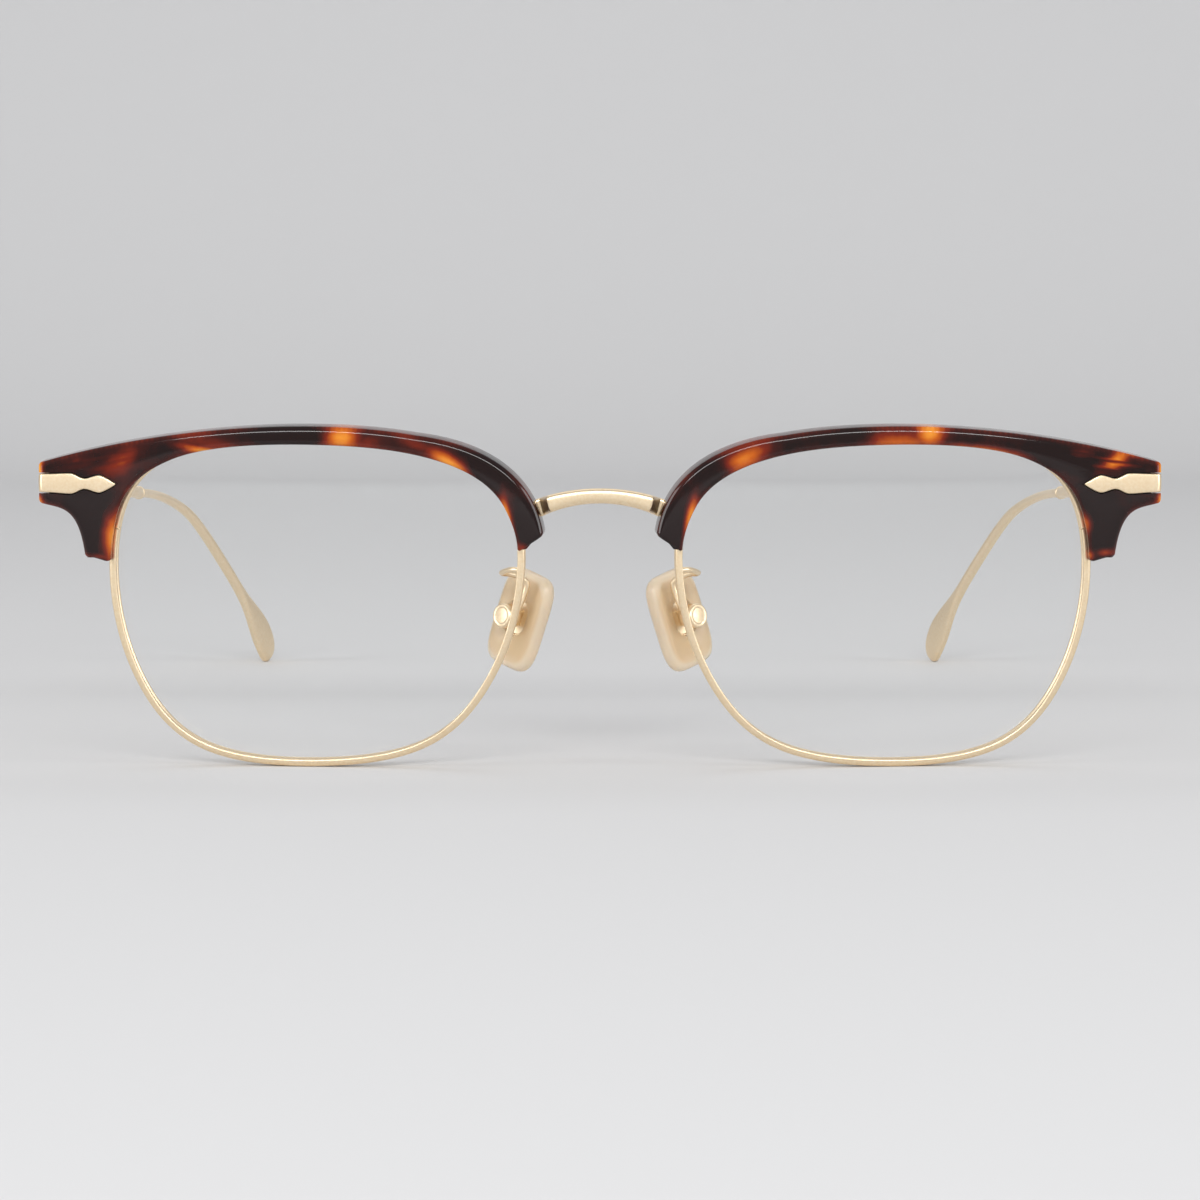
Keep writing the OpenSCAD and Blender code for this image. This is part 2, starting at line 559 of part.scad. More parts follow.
// The temples slope down so that their tips touch the table with the rims
slope_guess = 3.5;
tip_points = [for (ring = tip_rings, p = ring) p];
tip_heights = [for (p = tip_points) -p.y * sin(slope_guess) + p.z * cos(slope_guess)];
tip_low = tip_points[search(min(tip_heights), tip_heights)[0]];
slope = let (y = tip_low.y + leg_l, z = tip_low.z) atan2(z, y) + asin(kink.z / norm([y, z]));
hinge = kink + [-hinge_in, leg_l * cos(slope), -leg_l * sin(slope)];

// Nose pads. Axes of a pad: +X away from the nose, +Z along it, turned with the nose
pad_x = nose_w / 2;
pad_y = 9.2;
pad_v = -3.7;
pad_splay = 46;
pad_flare = 17;
module at_pad() on_front() translate([pad_x, pad_y, pad_v]) rotate([0, -pad_flare, 0])
    rotate([0, 0, -pad_splay]) children();
pad_rings = 6;
pad_sides = 28;
pad_mid = -0.2;
// Distance by which the pad's round edge draws in towards each face
pad_edge = 1.05;
// A pillow: rings of a rounded rectangle that shrink towards both faces
function pad_ring(i) = let (a = 180 * i / pad_rings - 90,
    r = 1 - 2 * pad_edge / pad_w * (1 - cos(a)),
    x = pad_mid + pad_t / 2 * sin(a))
    [for (j = [0 : pad_sides - 1]) let (b = 360 * j / pad_sides, p = 0.5)
        [x, (pad_w / 2) * r * sign(cos(b)) * pow(abs(cos(b)), p),
            (pad_l / 2 - (1 - r) * pad_w / 2) * sign(sin(b)) * pow(abs(sin(b)), p)]];
core_t = 0.7;
core_l = 5.6;
core_w = 4.2;
core_gap = 0.03;
// Height of the box and the core above the pad's middle
core_up = 0.25;
tongue_t = 0.9;
tongue_w = 2.2;
pin_out = 2.05;
box_from = 1.6;
box_to = 3.7;
// The window in the pad's outer face shows the core but for a margin
window_margin = 0.3;
// A bar with round ends, from one depth in the pad to another, grown by a gap
module stadium(from, to, g) {
    for (m = [-1, 1]) translate([from, 0, m * (core_l - core_w) / 2])
        rotate([0, 90, 0]) cylinder(d = core_w + 2 * g, h = to - from);
    translate([from, -core_w / 2 - g, -(core_l - core_w) / 2])
        cube([to - from, core_w + 2 * g, core_l - core_w]);
}
module core_shape(g) stadium(pad_mid - core_t / 2 - g, pad_mid + core_t / 2 + g, g);
module tongue(g) translate([0, -tongue_t / 2 - g, -tongue_w / 2 - g])
    cube([pin_out, tongue_t + 2 * g, tongue_w + 2 * g]);
module at_core() at_pad() translate([0, 0, core_up]) children();
module nose_pad() color(silicone) at_pad() difference() {
    loft([for (i = [0 : pad_rings]) pad_ring(i)]);
    translate([0, 0, core_up]) {
        core_shape(core_gap);
        stadium(pad_mid, pad_mid + pad_t, -window_margin);
    }
}
module pad_core() color(gold) at_core() difference() {
    union() {
        core_shape(0);
        tongue(0);
        translate([pin_out, 0, 0]) rotate([90, 0, 0])
            cylinder(d = 1.5, h = tongue_t, center = true);
    }
    pad_pin_hole(tongue_t + 1);
}
module pad_pin_hole(h) translate([pin_out, 0, 0]) rotate([90, 0, 0])
    cylinder(r = pad_pin_r + run_gap, h = h, center = true);
tongue_gap = 0.1;
module pad_box() color(gold) at_core() difference() {
    translate([box_from, 0, 0]) rotate([0, 90, 0]) rotate_extrude()
        polygon([[0, 0], [box_dia / 2, 0], [box_dia / 2, box_to - box_from - 0.25],
            [box_dia / 2 - 0.25, box_to - box_from], [0, box_to - box_from]]);
    translate([box_from - 1, -tongue_t / 2 - tongue_gap, -box_dia])
        cube([pin_out - box_from + 1.85, tongue_t + 2 * tongue_gap, 2 * box_dia]);
    pad_pin_hole(box_dia + 1);
}
module pad_pin() color(gold) at_core() translate([pin_out, 0, 0]) rotate([90, 0, 0])
    cylinder(r = pad_pin_r, h = box_dia - 0.7, center = true);

// Pad arm: a wire from the back of the rim, out, back and down to the box
function rot_z(p, a) = [p.x * cos(a) - p.y * sin(a), p.x * sin(a) + p.y * cos(a), p.z];
function rot_y(p, a) = [p.x * cos(a) + p.z * sin(a), p.y, -p.x * sin(a) + p.z * cos(a)];
function pad_to_front(p) = [pad_x, pad_y, pad_v] + rot_y(rot_z(p, -pad_splay), -pad_flare);
// Its foot lies along the rim's back, and its end stands on the side of the box
solder_gap = 0.05;
arm_foot = eye_to_front(on_eye(rim_offset(arm_at, rim_t / 2),
    (rim_d + arm_dia) / 2 + solder_gap));
hold_r = box_dia / 2 + 0.3;
arm_hold = pad_to_front([box_from + 0.9, -hold_r * sin(50), core_up + hold_r * cos(50)]);
arm_route = [arm_foot, arm_foot + [1.3, 0.8, 0], arm_foot + [2.4, 2.2, -0.5],
    arm_foot + [2.6, 3.6, -0.9], arm_foot + [1.2, 4.9, -1.3], arm_foot + [-0.4, 5.2, -2.3],
    arm_foot + [-0.1, 5.2, -4], arm_hold];
arm_steps = 30;
arm_sides = 8;
arm_shares = [for (i = [0 : arm_steps]) i / arm_steps];
arm_path = [for (f = arm_shares) open_spline(arm_route, f)];
arm_tangents = [for (f = arm_shares)
    unit(open_spline(arm_route, min(1, f + 0.01)) - open_spline(arm_route, max(0, f - 0.01)))];
function upright(v, t) = unit(v - t * (v * t));
arm_normals = [for (i = 0, v = upright([0, 0, 1], arm_tangents[0]); i <= arm_steps;
    i = i + 1, v = upright(v, arm_tangents[min(i, arm_steps)])) v];
module pad_arm() color(gold) on_front() loft([for (i = [0 : arm_steps])
    let (n = arm_normals[i], b = cross(arm_tangents[i], n))
        [for (j = [0 : arm_sides - 1]) let (a = 360 * j / arm_sides)
            arm_path[i] + arm_dia / 2 * (n * cos(a) + b * sin(a))]]);

// The origin is under the middle of the whole pair of glasses
front_y = let (front = [for (i = [0 : brow_last], p = brow_ring(i))
        lean_over(eye_to_front(p)).y],
    back = [for (r = tip_rings, p = r) drop_back(p).y])
    -(min(front) + hinge.y + max(back)) / 2;

bridge();
brow();  // left_brow
rim();  // left_rim
lens();  // left_lens
end_piece();  // left_end_piece
rim_lock();  // left_rim_lock
lock_screw();  // left_lock_screw
brow_screws();  // left_brow_screws
hinge_screw();  // left_hinge_screw
temple_bar();  // left_temple_bar
temple_tip();  // left_temple_tip
pad_arm();  // left_pad_arm
pad_box();  // left_pad_box
pad_pin();  // left_pad_pin
pad_core();  // left_pad_core
nose_pad();  // left_nose_pad
mirrored() brow();  // right_brow
mirrored() rim();  // right_rim
mirrored() lens();  // right_lens
mirrored() end_piece();  // right_end_piece
mirrored() rim_lock();  // right_rim_lock
mirrored() lock_screw();  // right_lock_screw
mirrored() brow_screws();  // right_brow_screws
mirrored() hinge_screw();  // right_hinge_screw
mirrored() temple_bar();  // right_temple_bar
mirrored() temple_tip();  // right_temple_tip
mirrored() pad_arm();  // right_pad_arm
mirrored() pad_box();  // right_pad_box
mirrored() pad_pin();  // right_pad_pin
mirrored() pad_core();  // right_pad_core
mirrored() nose_pad();  // right_nose_pad
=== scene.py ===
# %% [markdown]
# # Browline glasses
# A browline frame hangs a thin metal rim round each lens from a bar of acetate that
# follows the eyebrow. Metal end pieces are let into the outer ends of the brows, and
# slim metal temples fold behind them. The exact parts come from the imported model;
# this script gives them fine surfaces and real finishes. Each new surface is worked
# out from the same few driving sizes as the solids, so it lies where they lie.

# %% Load the fixed frame
import json

import bmesh
import bpy
import numpy as np
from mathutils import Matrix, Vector


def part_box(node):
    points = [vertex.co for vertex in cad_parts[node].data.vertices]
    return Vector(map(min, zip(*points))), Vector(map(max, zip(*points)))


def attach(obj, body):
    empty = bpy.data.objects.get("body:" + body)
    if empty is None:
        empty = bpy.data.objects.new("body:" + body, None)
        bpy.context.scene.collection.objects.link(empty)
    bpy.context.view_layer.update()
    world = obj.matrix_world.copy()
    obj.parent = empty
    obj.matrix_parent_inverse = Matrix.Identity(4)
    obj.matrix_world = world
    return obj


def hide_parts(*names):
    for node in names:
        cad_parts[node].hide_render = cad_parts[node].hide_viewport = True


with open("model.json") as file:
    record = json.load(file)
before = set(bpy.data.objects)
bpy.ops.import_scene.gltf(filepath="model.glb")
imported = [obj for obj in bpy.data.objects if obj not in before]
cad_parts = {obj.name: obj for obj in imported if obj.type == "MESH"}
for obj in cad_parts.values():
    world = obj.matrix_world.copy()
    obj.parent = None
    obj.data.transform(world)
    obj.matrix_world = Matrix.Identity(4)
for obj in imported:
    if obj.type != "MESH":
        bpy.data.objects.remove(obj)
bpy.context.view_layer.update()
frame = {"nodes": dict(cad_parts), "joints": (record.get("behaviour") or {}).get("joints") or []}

# %% [markdown]
# ## Sizes
# All sizes are in millimetres and are turned to metres only when a mesh is written.
# The rims are one smooth closed curve of twelve control points. Rims, lenses and
# brows all lie on a sphere, which is what gives a pair of glasses its base curve.

# %% Driving sizes, in millimetres
MM = 0.001
EYE_W, EYE_H, NOSE_W, LUG_OUT = 51.8, 41.2, 21, 10.1
BASE_R = 180
WRAP, LEAN, TOE_IN = 4, 4.5, 0.6
RIM_T, RIM_D, GROOVE_D = 0.95, 1.9, 0.4
LENS_T = 1.6
BROW_H, BROW_D, LIP_T, BEVEL, LUG_H = 2.3, 4, 1.35, 0.45, 5.4
PLAQUE_L, PLAQUE_T = 10.5, 0.9
STRAP_H, STRAP_T = 2.35, 1.2
SEAT = 0.05

EYE_X = (NOSE_W + EYE_W) / 2
LUG_U, LUG_V = EYE_W / 2 + LUG_OUT, 14.9
BROW_FRONT = -RIM_D / 2 - SEAT - LIP_T
BROW_BACK = BROW_FRONT + BROW_D
BROW_TOP = EYE_H / 2 + BROW_H

RIM_POINTS = [[1.02, 0], [0.99, 0.66], [0.69, 0.97], [-0.01, 1.01], [-0.6, 0.95], [-1.02, 0.68],
              [-1, -0.01], [-0.85, -0.51], [-0.57, -0.93], [0, -1.02], [0.62, -0.97], [0.89, -0.55]]
LOCK_AT, ARM_AT = 0.7, 5.72
print("eye middles at x =", EYE_X, "and the brow's outer end at", LUG_U, "from there")


# %% Small maths helpers
def unit(v):
    """Each vector divided by its own length."""
    return v / np.linalg.norm(v, axis=-1, keepdims=True)


def mix(a, b, f):
    """The value at share f of the way from a to b."""
    return a + (b - a) * f


def smooth(a, b, x):
    """0 up to a, 1 from b on, and a cubic that starts and ends level in between."""
    f = np.clip((x - a) / (b - a), 0, 1)
    return f * f * (3 - 2 * f)


def turned(points, axis, degrees):
    """Points turned about a row axis: the other two coordinates mix by the angle's sine and cosine."""
    p = np.asarray(points, float)
    a, b = [(1, 2), (2, 0), (0, 1)][axis]
    c, s = np.cos(np.radians(degrees)), np.sin(np.radians(degrees))
    q = p.copy()
    q[..., a] = p[..., a] * c - p[..., b] * s
    q[..., b] = p[..., a] * s + p[..., b] * c
    return q


def closed_spline(points, t):
    """Uniform cubic B-spline round closed control points: the four nearest points, weighted by cubics
    of the fraction of t."""
    points = np.asarray(points, float)
    i = np.floor(t).astype(int)
    f = (t - i)[..., None]
    weights = np.concatenate([(1 - f) ** 3, 3 * f**3 - 6 * f**2 + 4, 3 * (1 - f) ** 3 - 6 * (1 - f) ** 2 + 4,
                              f**3], -1) / 6
    near = points[(i[..., None] + np.arange(-1, 3)) % len(points)]
    return (weights[..., None] * near).sum(-2)


def open_spline(points, f):
    """Catmull-Rom curve through open points: each stretch is the cubic with the slopes of its
    neighbours' chords."""
    p = np.asarray(points, float)
    last = len(p) - 1
    s = np.clip(f, 0, 1) * last
    i = np.minimum(np.floor(s).astype(int), last - 1)
    r = (s - i)[:, None]
    a, b, c, d = p[np.maximum(i - 1, 0)], p[i], p[i + 1], p[np.minimum(i + 2, last)]
    return 0.5 * (2 * b + (c - a) * r + (2 * a - 5 * b + 4 * c - d) * r**2 + (3 * b - a - 3 * c + d) * r**3)


def bezier(p, f):
    """Cubic Bezier curve: four points weighted by the terms of (1 - f + f) cubed."""
    p, f = np.asarray(p, float), f[:, None]
    g = 1 - f
    return g**3 * p[0] + 3 * g * g * f * p[1] + 3 * g * f * f * p[2] + f**3 * p[3]


print("a quarter turn carries x to y:", turned([1, 0, 0], 2, 90).round(3).tolist())

# %% [markdown]
# ## Axes
# The eye's own axes follow the lens, the front's axes lean with the two eyes
# together, and the whole part stands on the table. A point goes from one to the next
# by a turn and a shift, so that every piece can be shaped where it is simplest.

# %% From the eye's axes to the row's
def sag(u, v):
    """Depth of the base sphere below its top, from the circle's equation."""
    return BASE_R - np.sqrt(BASE_R**2 - u**2 - v**2)


def on_eye(uv, depth):
    """Points at a depth behind the base sphere, above outline points."""
    u, v = uv[..., 0], uv[..., 1]
    return np.stack([u, sag(u, v) + depth, v], -1)


def rim_edge(t):
    """The rim's opening at place t: the unit curve times half its width and height."""
    return closed_spline(RIM_POINTS, np.mod(t, len(RIM_POINTS))) * [EYE_W / 2, EYE_H / 2]


def rim_out(t):
    """Direction away from the opening: the curve's own direction turned by a right angle."""
    d = unit(rim_edge(t + 0.01) - rim_edge(t - 0.01))
    return np.stack([d[..., 1], -d[..., 0]], -1)


def rim_offset(t, away):
    """The opening's edge moved away from the opening."""
    return rim_edge(t) + rim_out(t) * np.asarray(away)[..., None]


def eye_to_front(points):
    """Turned by the wrap of the front and moved out to the eye's middle."""
    return turned(points, 2, WRAP) + [EYE_X, 0, 0]


def lean_only(points):
    """Turned about the x axis by the lean of the front."""
    return turned(points, 0, LEAN)


fine_t = np.linspace(0, len(RIM_POINTS), 721)
rim_low = lean_only(eye_to_front(np.stack([on_eye(rim_offset(fine_t, a), d)
                                           for a in (0.5, 0.75, RIM_T)
                                           for d in (-RIM_D / 2, -0.5, 0.5, RIM_D / 2)])))
FRONT_Z = -(rim_low[..., 2].min())
print("the eyes' middles are", round(FRONT_Z, 2), "mm above the table")


# %% [markdown]
# ## Making meshes
# Nearly every piece here is a row of rings: a profile that is carried along a path
# and changes on the way. One function turns such a stack of rings into a closed skin
# and one rounds the corners of a profile, as polishing does on the real part.

# %% Rings to closed skins
def grid(rows, columns, loop_rows=False):
    """Quads of a grid closed along its columns: each joins a point with its three neighbours ahead."""
    i, j = np.meshgrid(np.arange(rows if loop_rows else rows - 1), np.arange(columns), indexing="ij")
    i2, j2 = (i + 1) % rows, (j + 1) % columns
    quads = np.stack([i * columns + j, i2 * columns + j, i2 * columns + j2, i * columns + j2], -1)
    return quads.reshape(-1, 4)


def skin(rings):
    """Closed surface over a stack of rings: quads between them, and a fan about each end's middle."""
    n, k, _ = rings.shape
    points = np.concatenate([rings.reshape(-1, 3), rings[[0, -1]].mean(1)])
    j = np.arange(k)
    first = np.stack([np.full(k, n * k), j, (j + 1) % k], -1)
    last = np.stack([np.full(k, n * k + 1), (n - 1) * k + (j + 1) % k, (n - 1) * k + j], -1)
    return points, grid(n, k).tolist() + first.tolist() + last.tolist()


def hoop(rings):
    """Closed surface over rings whose last one meets the first again."""
    n, k, _ = rings.shape
    return rings.reshape(-1, 3), grid(n, k, loop_rows=True).tolist()


def placed(shape, to_row):
    """A shape's points carried to other axes, with the same faces."""
    return to_row(shape[0]), shape[1]


def outward(points, faces):
    """The faces, all turned round if the tetrahedra from the origin to them add up to less than 0."""
    a, b, c, d = (points[[face[k] for face in faces]] for k in (0, 1, 2, -1))
    signed = (np.cross(a, b) * c).sum() + (np.cross(a, c) * d).sum()
    return faces if signed > 0 else [face[::-1] for face in faces]


def rounded(polygons, setback, steps=5):
    """Closed polygons with each corner swapped for the quadratic curve that starts and ends a setback
    away from it."""
    p = np.asarray(polygons, float)
    before, after = np.roll(p, 1, -2) - p, np.roll(p, -1, -2) - p
    room = np.minimum(np.linalg.norm(before, axis=-1), np.linalg.norm(after, axis=-1)) * 0.49
    r = np.minimum(np.broadcast_to(setback, room.shape), room)[..., None, None]
    f = np.linspace(0, 1, steps)[:, None]
    corner = p[..., None, :]
    a, b = corner + unit(before)[..., None, :] * r, corner + unit(after)[..., None, :] * r
    curve = (1 - f) ** 2 * a + 2 * f * (1 - f) * corner + f**2 * b
    return curve.reshape(p.shape[:-2] + (-1, p.shape[-1]))


def plate(outline, low, high, edge, steps=4):
    """A flat outline given thickness: copies of it stacked along the third axis and drawn in by a
    quarter circle at both faces."""
    a = np.radians(np.linspace(0, 90, steps))
    inset = np.concatenate([edge * (1 - np.sin(a)), edge * (1 - np.sin(a[::-1]))])
    level = np.concatenate([low + edge * (1 - np.cos(a)), high - edge * (1 - np.cos(a[::-1]))])
    along = unit(np.roll(outline, -1, 0) - np.roll(outline, 1, 0))
    inward = np.stack([-along[:, 1], along[:, 0]], -1)
    flat = outline + inward * inset[:, None, None]
    height = np.broadcast_to(level[:, None, None], flat.shape[:2] + (1,))
    return np.concatenate([flat, height], -1)


def lathe(profile, around=64):
    """A profile of radius and height turned about the third axis: each point becomes a circle."""
    profile = np.asarray(profile, float)
    a = 2 * np.pi * np.arange(around) / around
    r, h = profile[:, :1], profile[:, 1:]
    return np.stack([r * np.cos(a), r * np.sin(a), h + 0 * a], -1)


print("a skin over two rings of four has", len(skin(np.zeros((2, 4, 3)))[1]), "faces")

# %% From arrays to pieces on the frame
SHARP_FROM = 38


def piece(name, shape, material, body, nodes=(), sharp=SHARP_FROM):
    """Writes points and faces into a mesh in metres, shades it smooth but for real corners, and puts
    it on its body."""
    points, faces = shape
    mesh = bpy.data.meshes.new(name)
    mesh.from_pydata((points * MM).tolist(), [], outward(points, faces))
    mesh.shade_smooth()
    mesh.set_sharp_from_angle(angle=np.radians(sharp))
    mesh.materials.append(material)
    made = bpy.data.objects.new(name, mesh)
    bpy.context.scene.collection.objects.link(made)
    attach(made, body)
    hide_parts(*nodes)
    return made


def pair(name, shape, material, body, nodes=(), sharp=SHARP_FROM):
    """The left piece and, with its x turned round, the right one."""
    both = []
    for side, sign in (("left", 1), ("right", -1)):
        place = body if body == "front" else f"{side}_{body}"
        mirrored = (shape[0] * [sign, 1, 1], shape[1])
        own = [f"{side}_{node}" for node in nodes]
        both.append(piece(f"{side}_{name}", mirrored, material, place, own, sharp))
    print(name, "pair:", len(shape[0]), "points each")
    return both


print("edges of", SHARP_FROM, "degrees and more stay sharp")

# %% [markdown]
# ## The camera first
# The photograph is taken from 42 cm away, a little above the glasses, and looks
# slightly down. A long lens at that distance keeps the near and far parts at nearly
# the same size, as the photograph does.

# %% Camera at the photograph's angle
SHOT_DISTANCE, SHOT_HEIGHT, SHOT_DOWN = 420, 57.49, 4.859
# The focal length is written as a share of the sensor's width
FOCAL_SHARE, SENSOR = 2.7481, 36

camera_data = bpy.data.cameras.new("camera")
camera_data.sensor_width = SENSOR
camera_data.lens = SENSOR * FOCAL_SHARE
camera_data.clip_start, camera_data.clip_end = 0.01, 10
camera = bpy.data.objects.new("camera", camera_data)
bpy.context.scene.collection.objects.link(camera)
bpy.context.scene.camera = camera
print("camera:", SHOT_DISTANCE, "mm in front, looking", SHOT_DOWN, "degrees down")


# %% [markdown]
# ## Finishes
# Four materials make the whole object. Colours are written as the eye sees them, in
# hex, and one function turns them to the linear light that the renderer counts in.

# %% Colour and node helpers
def linear(hex_colour):
    """sRGB hex to linear light: each channel through the standard's power curve."""
    c = np.array([int(hex_colour[i:i + 2], 16) for i in (1, 3, 5)]) / 255
    c = np.where(c <= 0.04045, c / 12.92, ((c + 0.055) / 1.055) ** 2.4)
    return (*c.tolist(), 1)


def add(tree, kind, links=(), **settings):
    """Adds a node, sets its properties or sockets by name, and links the given sockets into it."""
    node = tree.nodes.new(kind)
    for key, value in settings.items():
        if hasattr(node, key):
            setattr(node, key, value)
        else:
            node.inputs[key.replace("_", " ")].default_value = value
    for socket, source in links:
        tree.links.new(source, node.inputs[socket])
    return node


def finish(name, **settings):
    """A material with one principled shader, whose sockets are set directly."""
    material = bpy.data.materials.new(name)
    material.use_nodes = True
    tree = material.node_tree
    shader = tree.nodes["Principled BSDF"]
    for key, value in settings.items():
        shader.inputs[key.replace("_", " ")].default_value = value
    return material, tree, shader


def ramp(tree, factor, stops):
    """A colour ramp with its stops at the given places."""
    node = add(tree, "ShaderNodeValToRGB", [("Fac", factor)])
    elements = node.color_ramp.elements
    while len(elements) < len(stops):
        elements.new(1)
    for element, (place, colour) in zip(elements, stops):
        element.position, element.color = place, linear(colour)
    return node


print("a middle grey in linear light:", round(linear("#808080")[0], 3))

# %% [markdown]
# The metal is a nickel alloy plated in pale gold and then bead-blasted very finely
# before it is polished once more: a champagne satin. Highlights stay bright but have
# soft edges, and the tint wavers a little. The real grain is a few hundredths of a
# millimetre, too fine to show, so it is drawn at a third of a millimetre.

# %% Champagne gold, satin-polished plating
gold, tree, shader = finish("champagne_gold_plating", Metallic=1, Roughness=0.36)
where = add(tree, "ShaderNodeTexCoord")
GRAIN_MM = 0.35
grain = add(tree, "ShaderNodeTexNoise", [("Vector", where.outputs["Object"])], Scale=1 / (GRAIN_MM * MM),
            Detail=2)
tint = ramp(tree, grain.outputs["Fac"], [(0.3, "#F2DAB4"), (0.7, "#F8E4C4")])
tree.links.new(tint.outputs["Color"], shader.inputs["Base Color"])
relief = add(tree, "ShaderNodeBump", [("Height", grain.outputs["Fac"])], Strength=0.04, Distance=0.00001)
tree.links.new(relief.outputs["Normal"], shader.inputs["Normal"])
print("gold:", gold.name)

# %% [markdown]
# Tortoiseshell acetate is cast in blocks from chips of three colours, so its
# patches run through the whole thickness: near-black brown, red-brown where a dark
# layer is thin, and amber. Each brow carries an attribute, worked out below, that
# says how much amber lies at each point, plus a painted glow along the edges. Noise
# of two sizes frays the patches, and tumbling leaves the surface nearly as smooth as glass.

# %% Tortoiseshell acetate, tumble-polished
acetate, tree, shader = finish("tortoiseshell_acetate", Roughness=0.1, IOR=1.49, Subsurface_Weight=0.08,
                               Subsurface_Scale=0.001, Specular_IOR_Level=0.35)
shader.inputs["Subsurface Radius"].default_value = (1, 0.35, 0.1)
where = add(tree, "ShaderNodeTexCoord")
amber_and_edge_glow = add(tree, "ShaderNodeAttribute", attribute_name="amber_and_edge_glow")
CLOUD_MM, STREAK_MM = 3.2, 0.9
cloud, streak = (add(tree, "ShaderNodeTexNoise", [("Vector", where.outputs["Object"])],
                     Scale=1 / (size * MM), Detail=detail)
                 for size, detail in ((CLOUD_MM, 3), (STREAK_MM, 2)))
clouded = add(tree, "ShaderNodeMath", [(0, cloud.outputs["Fac"]), (2, amber_and_edge_glow.outputs["Fac"])],
              operation="MULTIPLY_ADD")
clouded.inputs[1].default_value = 0.24
frayed = add(tree, "ShaderNodeMath", [(0, streak.outputs["Fac"]), (2, clouded.outputs[0])],
             operation="MULTIPLY_ADD")
frayed.inputs[1].default_value = 0.06
shell = ramp(tree, frayed.outputs[0], [(0.13, "#170807"), (0.27, "#380E08"), (0.43, "#6E1E0A"),
                                       (0.62, "#B0520F"), (0.88, "#E39632")])
tree.links.new(shell.outputs["Color"], shader.inputs["Base Color"])
print("acetate:", acetate.name)

# %% [markdown]
# The lenses are clear optical plastic with an anti-reflection coating, so almost all
# light passes straight through and a faint mirror image is left. The shader is a
# mirror that its alpha makes nearly invisible: its share is what the coating leaves.

# %% Clear coated lens
COATING_LEAVES = 0.03
lens_plastic, tree, shader = finish("coated_lens_plastic", Metallic=1, Roughness=0.02, Alpha=COATING_LEAVES)
shader.inputs["Base Color"].default_value = linear("#E6EEEC")
print("share of light that the coated lens mirrors:", COATING_LEAVES)

# %% [markdown]
# The nose pads are moulded silicone, soft and slightly tan. Light spreads inside
# them, which softens their shading. Their thin rounded edges look paler where light comes through, and that
# is painted in:
# each pad carries an attribute that grows towards its outline and picks the paler tan.

# %% Moulded silicone
silicone, tree, shader = finish("moulded_silicone", Roughness=0.3, IOR=1.41, Transmission_Weight=0.45,
                                Subsurface_Weight=0.35, Subsurface_Scale=0.0015)
shader.inputs["Subsurface Radius"].default_value = (1, 0.8, 0.6)
pale_edge_glow = add(tree, "ShaderNodeAttribute", attribute_name="pale_edge_glow")
tan = ramp(tree, pale_edge_glow.outputs["Fac"], [(0.3, "#E3C9A2"), (0.75, "#F6E6CE")])
tree.links.new(tan.outputs["Color"], shader.inputs["Base Color"])
print("four finishes are ready")


# %% [markdown]
# ## Rims
# A rim is drawn wire with a groove rolled into its inner side for the lens. It is
# one long profile carried round the lens's curve. It is open at the upper outer
# side, where two blocks clamp it. The profile's outer side is a soft crown.

# %% Rim wire
half = RIM_D / 2
RIM_PROFILE = [[GROOVE_D, 0], [0, 0.38], [0, half], [RIM_T, half], [RIM_T, -half], [0, -half], [0, -0.38]]
RIM_SETBACK = [0.05, 0.08, 0.24, 0.62, 0.62, 0.24, 0.08]
RIM_OPEN = 0.005
rim_profile = rounded(RIM_PROFILE, RIM_SETBACK, 7)
rim_t = np.linspace(LOCK_AT + RIM_OPEN, LOCK_AT + len(RIM_POINTS) - RIM_OPEN, 520)[:, None]
rim_rings = on_eye(rim_offset(rim_t, rim_profile[:, 0]), rim_profile[:, 1])
print("rim profile has", len(rim_profile), "points")

# %% [markdown]
# ## Brows
# A brow is milled from an acetate sheet and follows the rim from beside the nose to
# a short leg at the temple. On the way it widens into a lug that holds the end
# piece. Its shape is a ribbon: at each station one point lies on the rim's curve and
# one on an outer edge made of four curves, with a bevelled section between them.
# Before the outer bevel the face rolls over a little, as tumbling leaves it, and that
# narrow band catches the lamp as one light line along the whole brow.

# %% The brow's stations
LUG_R = 0.6
NASAL_CORNER = [-EYE_W / 2 - 3.35, 8.95]
SHOULDER = [-EYE_W / 4, BROW_TOP - 1.2]
LUG_END = LUG_U - LUG_R
LUG_TOP, LUG_FOOT = [LUG_END, LUG_V + LUG_H / 2], [LUG_END, LUG_V - LUG_H / 2]
LEG_CORNER = [EYE_W / 2 + 3.9, 5.5]
BROW_CURVES = [
    [NASAL_CORNER, [-EYE_W / 2 - 2.4, 15.3], [-EYE_W / 2 + 2.5, BROW_TOP - 2.45], SHOULDER],
    [SHOULDER, [0.2, BROW_TOP + 1.09], [EYE_W / 2 - 6.6, BROW_TOP - 0.4], LUG_TOP],
    [LUG_FOOT, [LUG_U - 3.1, LUG_FOOT[1] - 0.6], [LEG_CORNER[0] + 0.8, 12.1], LEG_CORNER]]
# Places on the rim's curve between which the outer edge's four stretches run
BROW_SPAN = [5.5, 3.8, 1.5, 1.2, 0.37]
END_ROUND = 0.3


def lug_edge(f):
    """The lug's end: a quarter circle at each corner, with a straight stretch between."""
    a = np.radians(90 * np.clip(f / 0.3, 0, 1))
    b = np.radians(90 * np.clip((f - 0.7) / 0.3, 0, 1))
    side = LUG_H / 2 - LUG_R
    u = LUG_END + LUG_R * np.where(f < 0.5, np.sin(a), np.cos(b))
    v = np.where(f < 0.5, side + LUG_R * np.cos(a), -side - LUG_R * np.sin(b))
    v = np.where((f > 0.3) & (f < 0.7), mix(side, -side, (f - 0.3) / 0.4), v)
    return np.stack([u, LUG_V + v], -1)


f1, f2, f3, f4 = (np.linspace(0, 1, n, endpoint=False) for n in (110, 150, 48, 91))
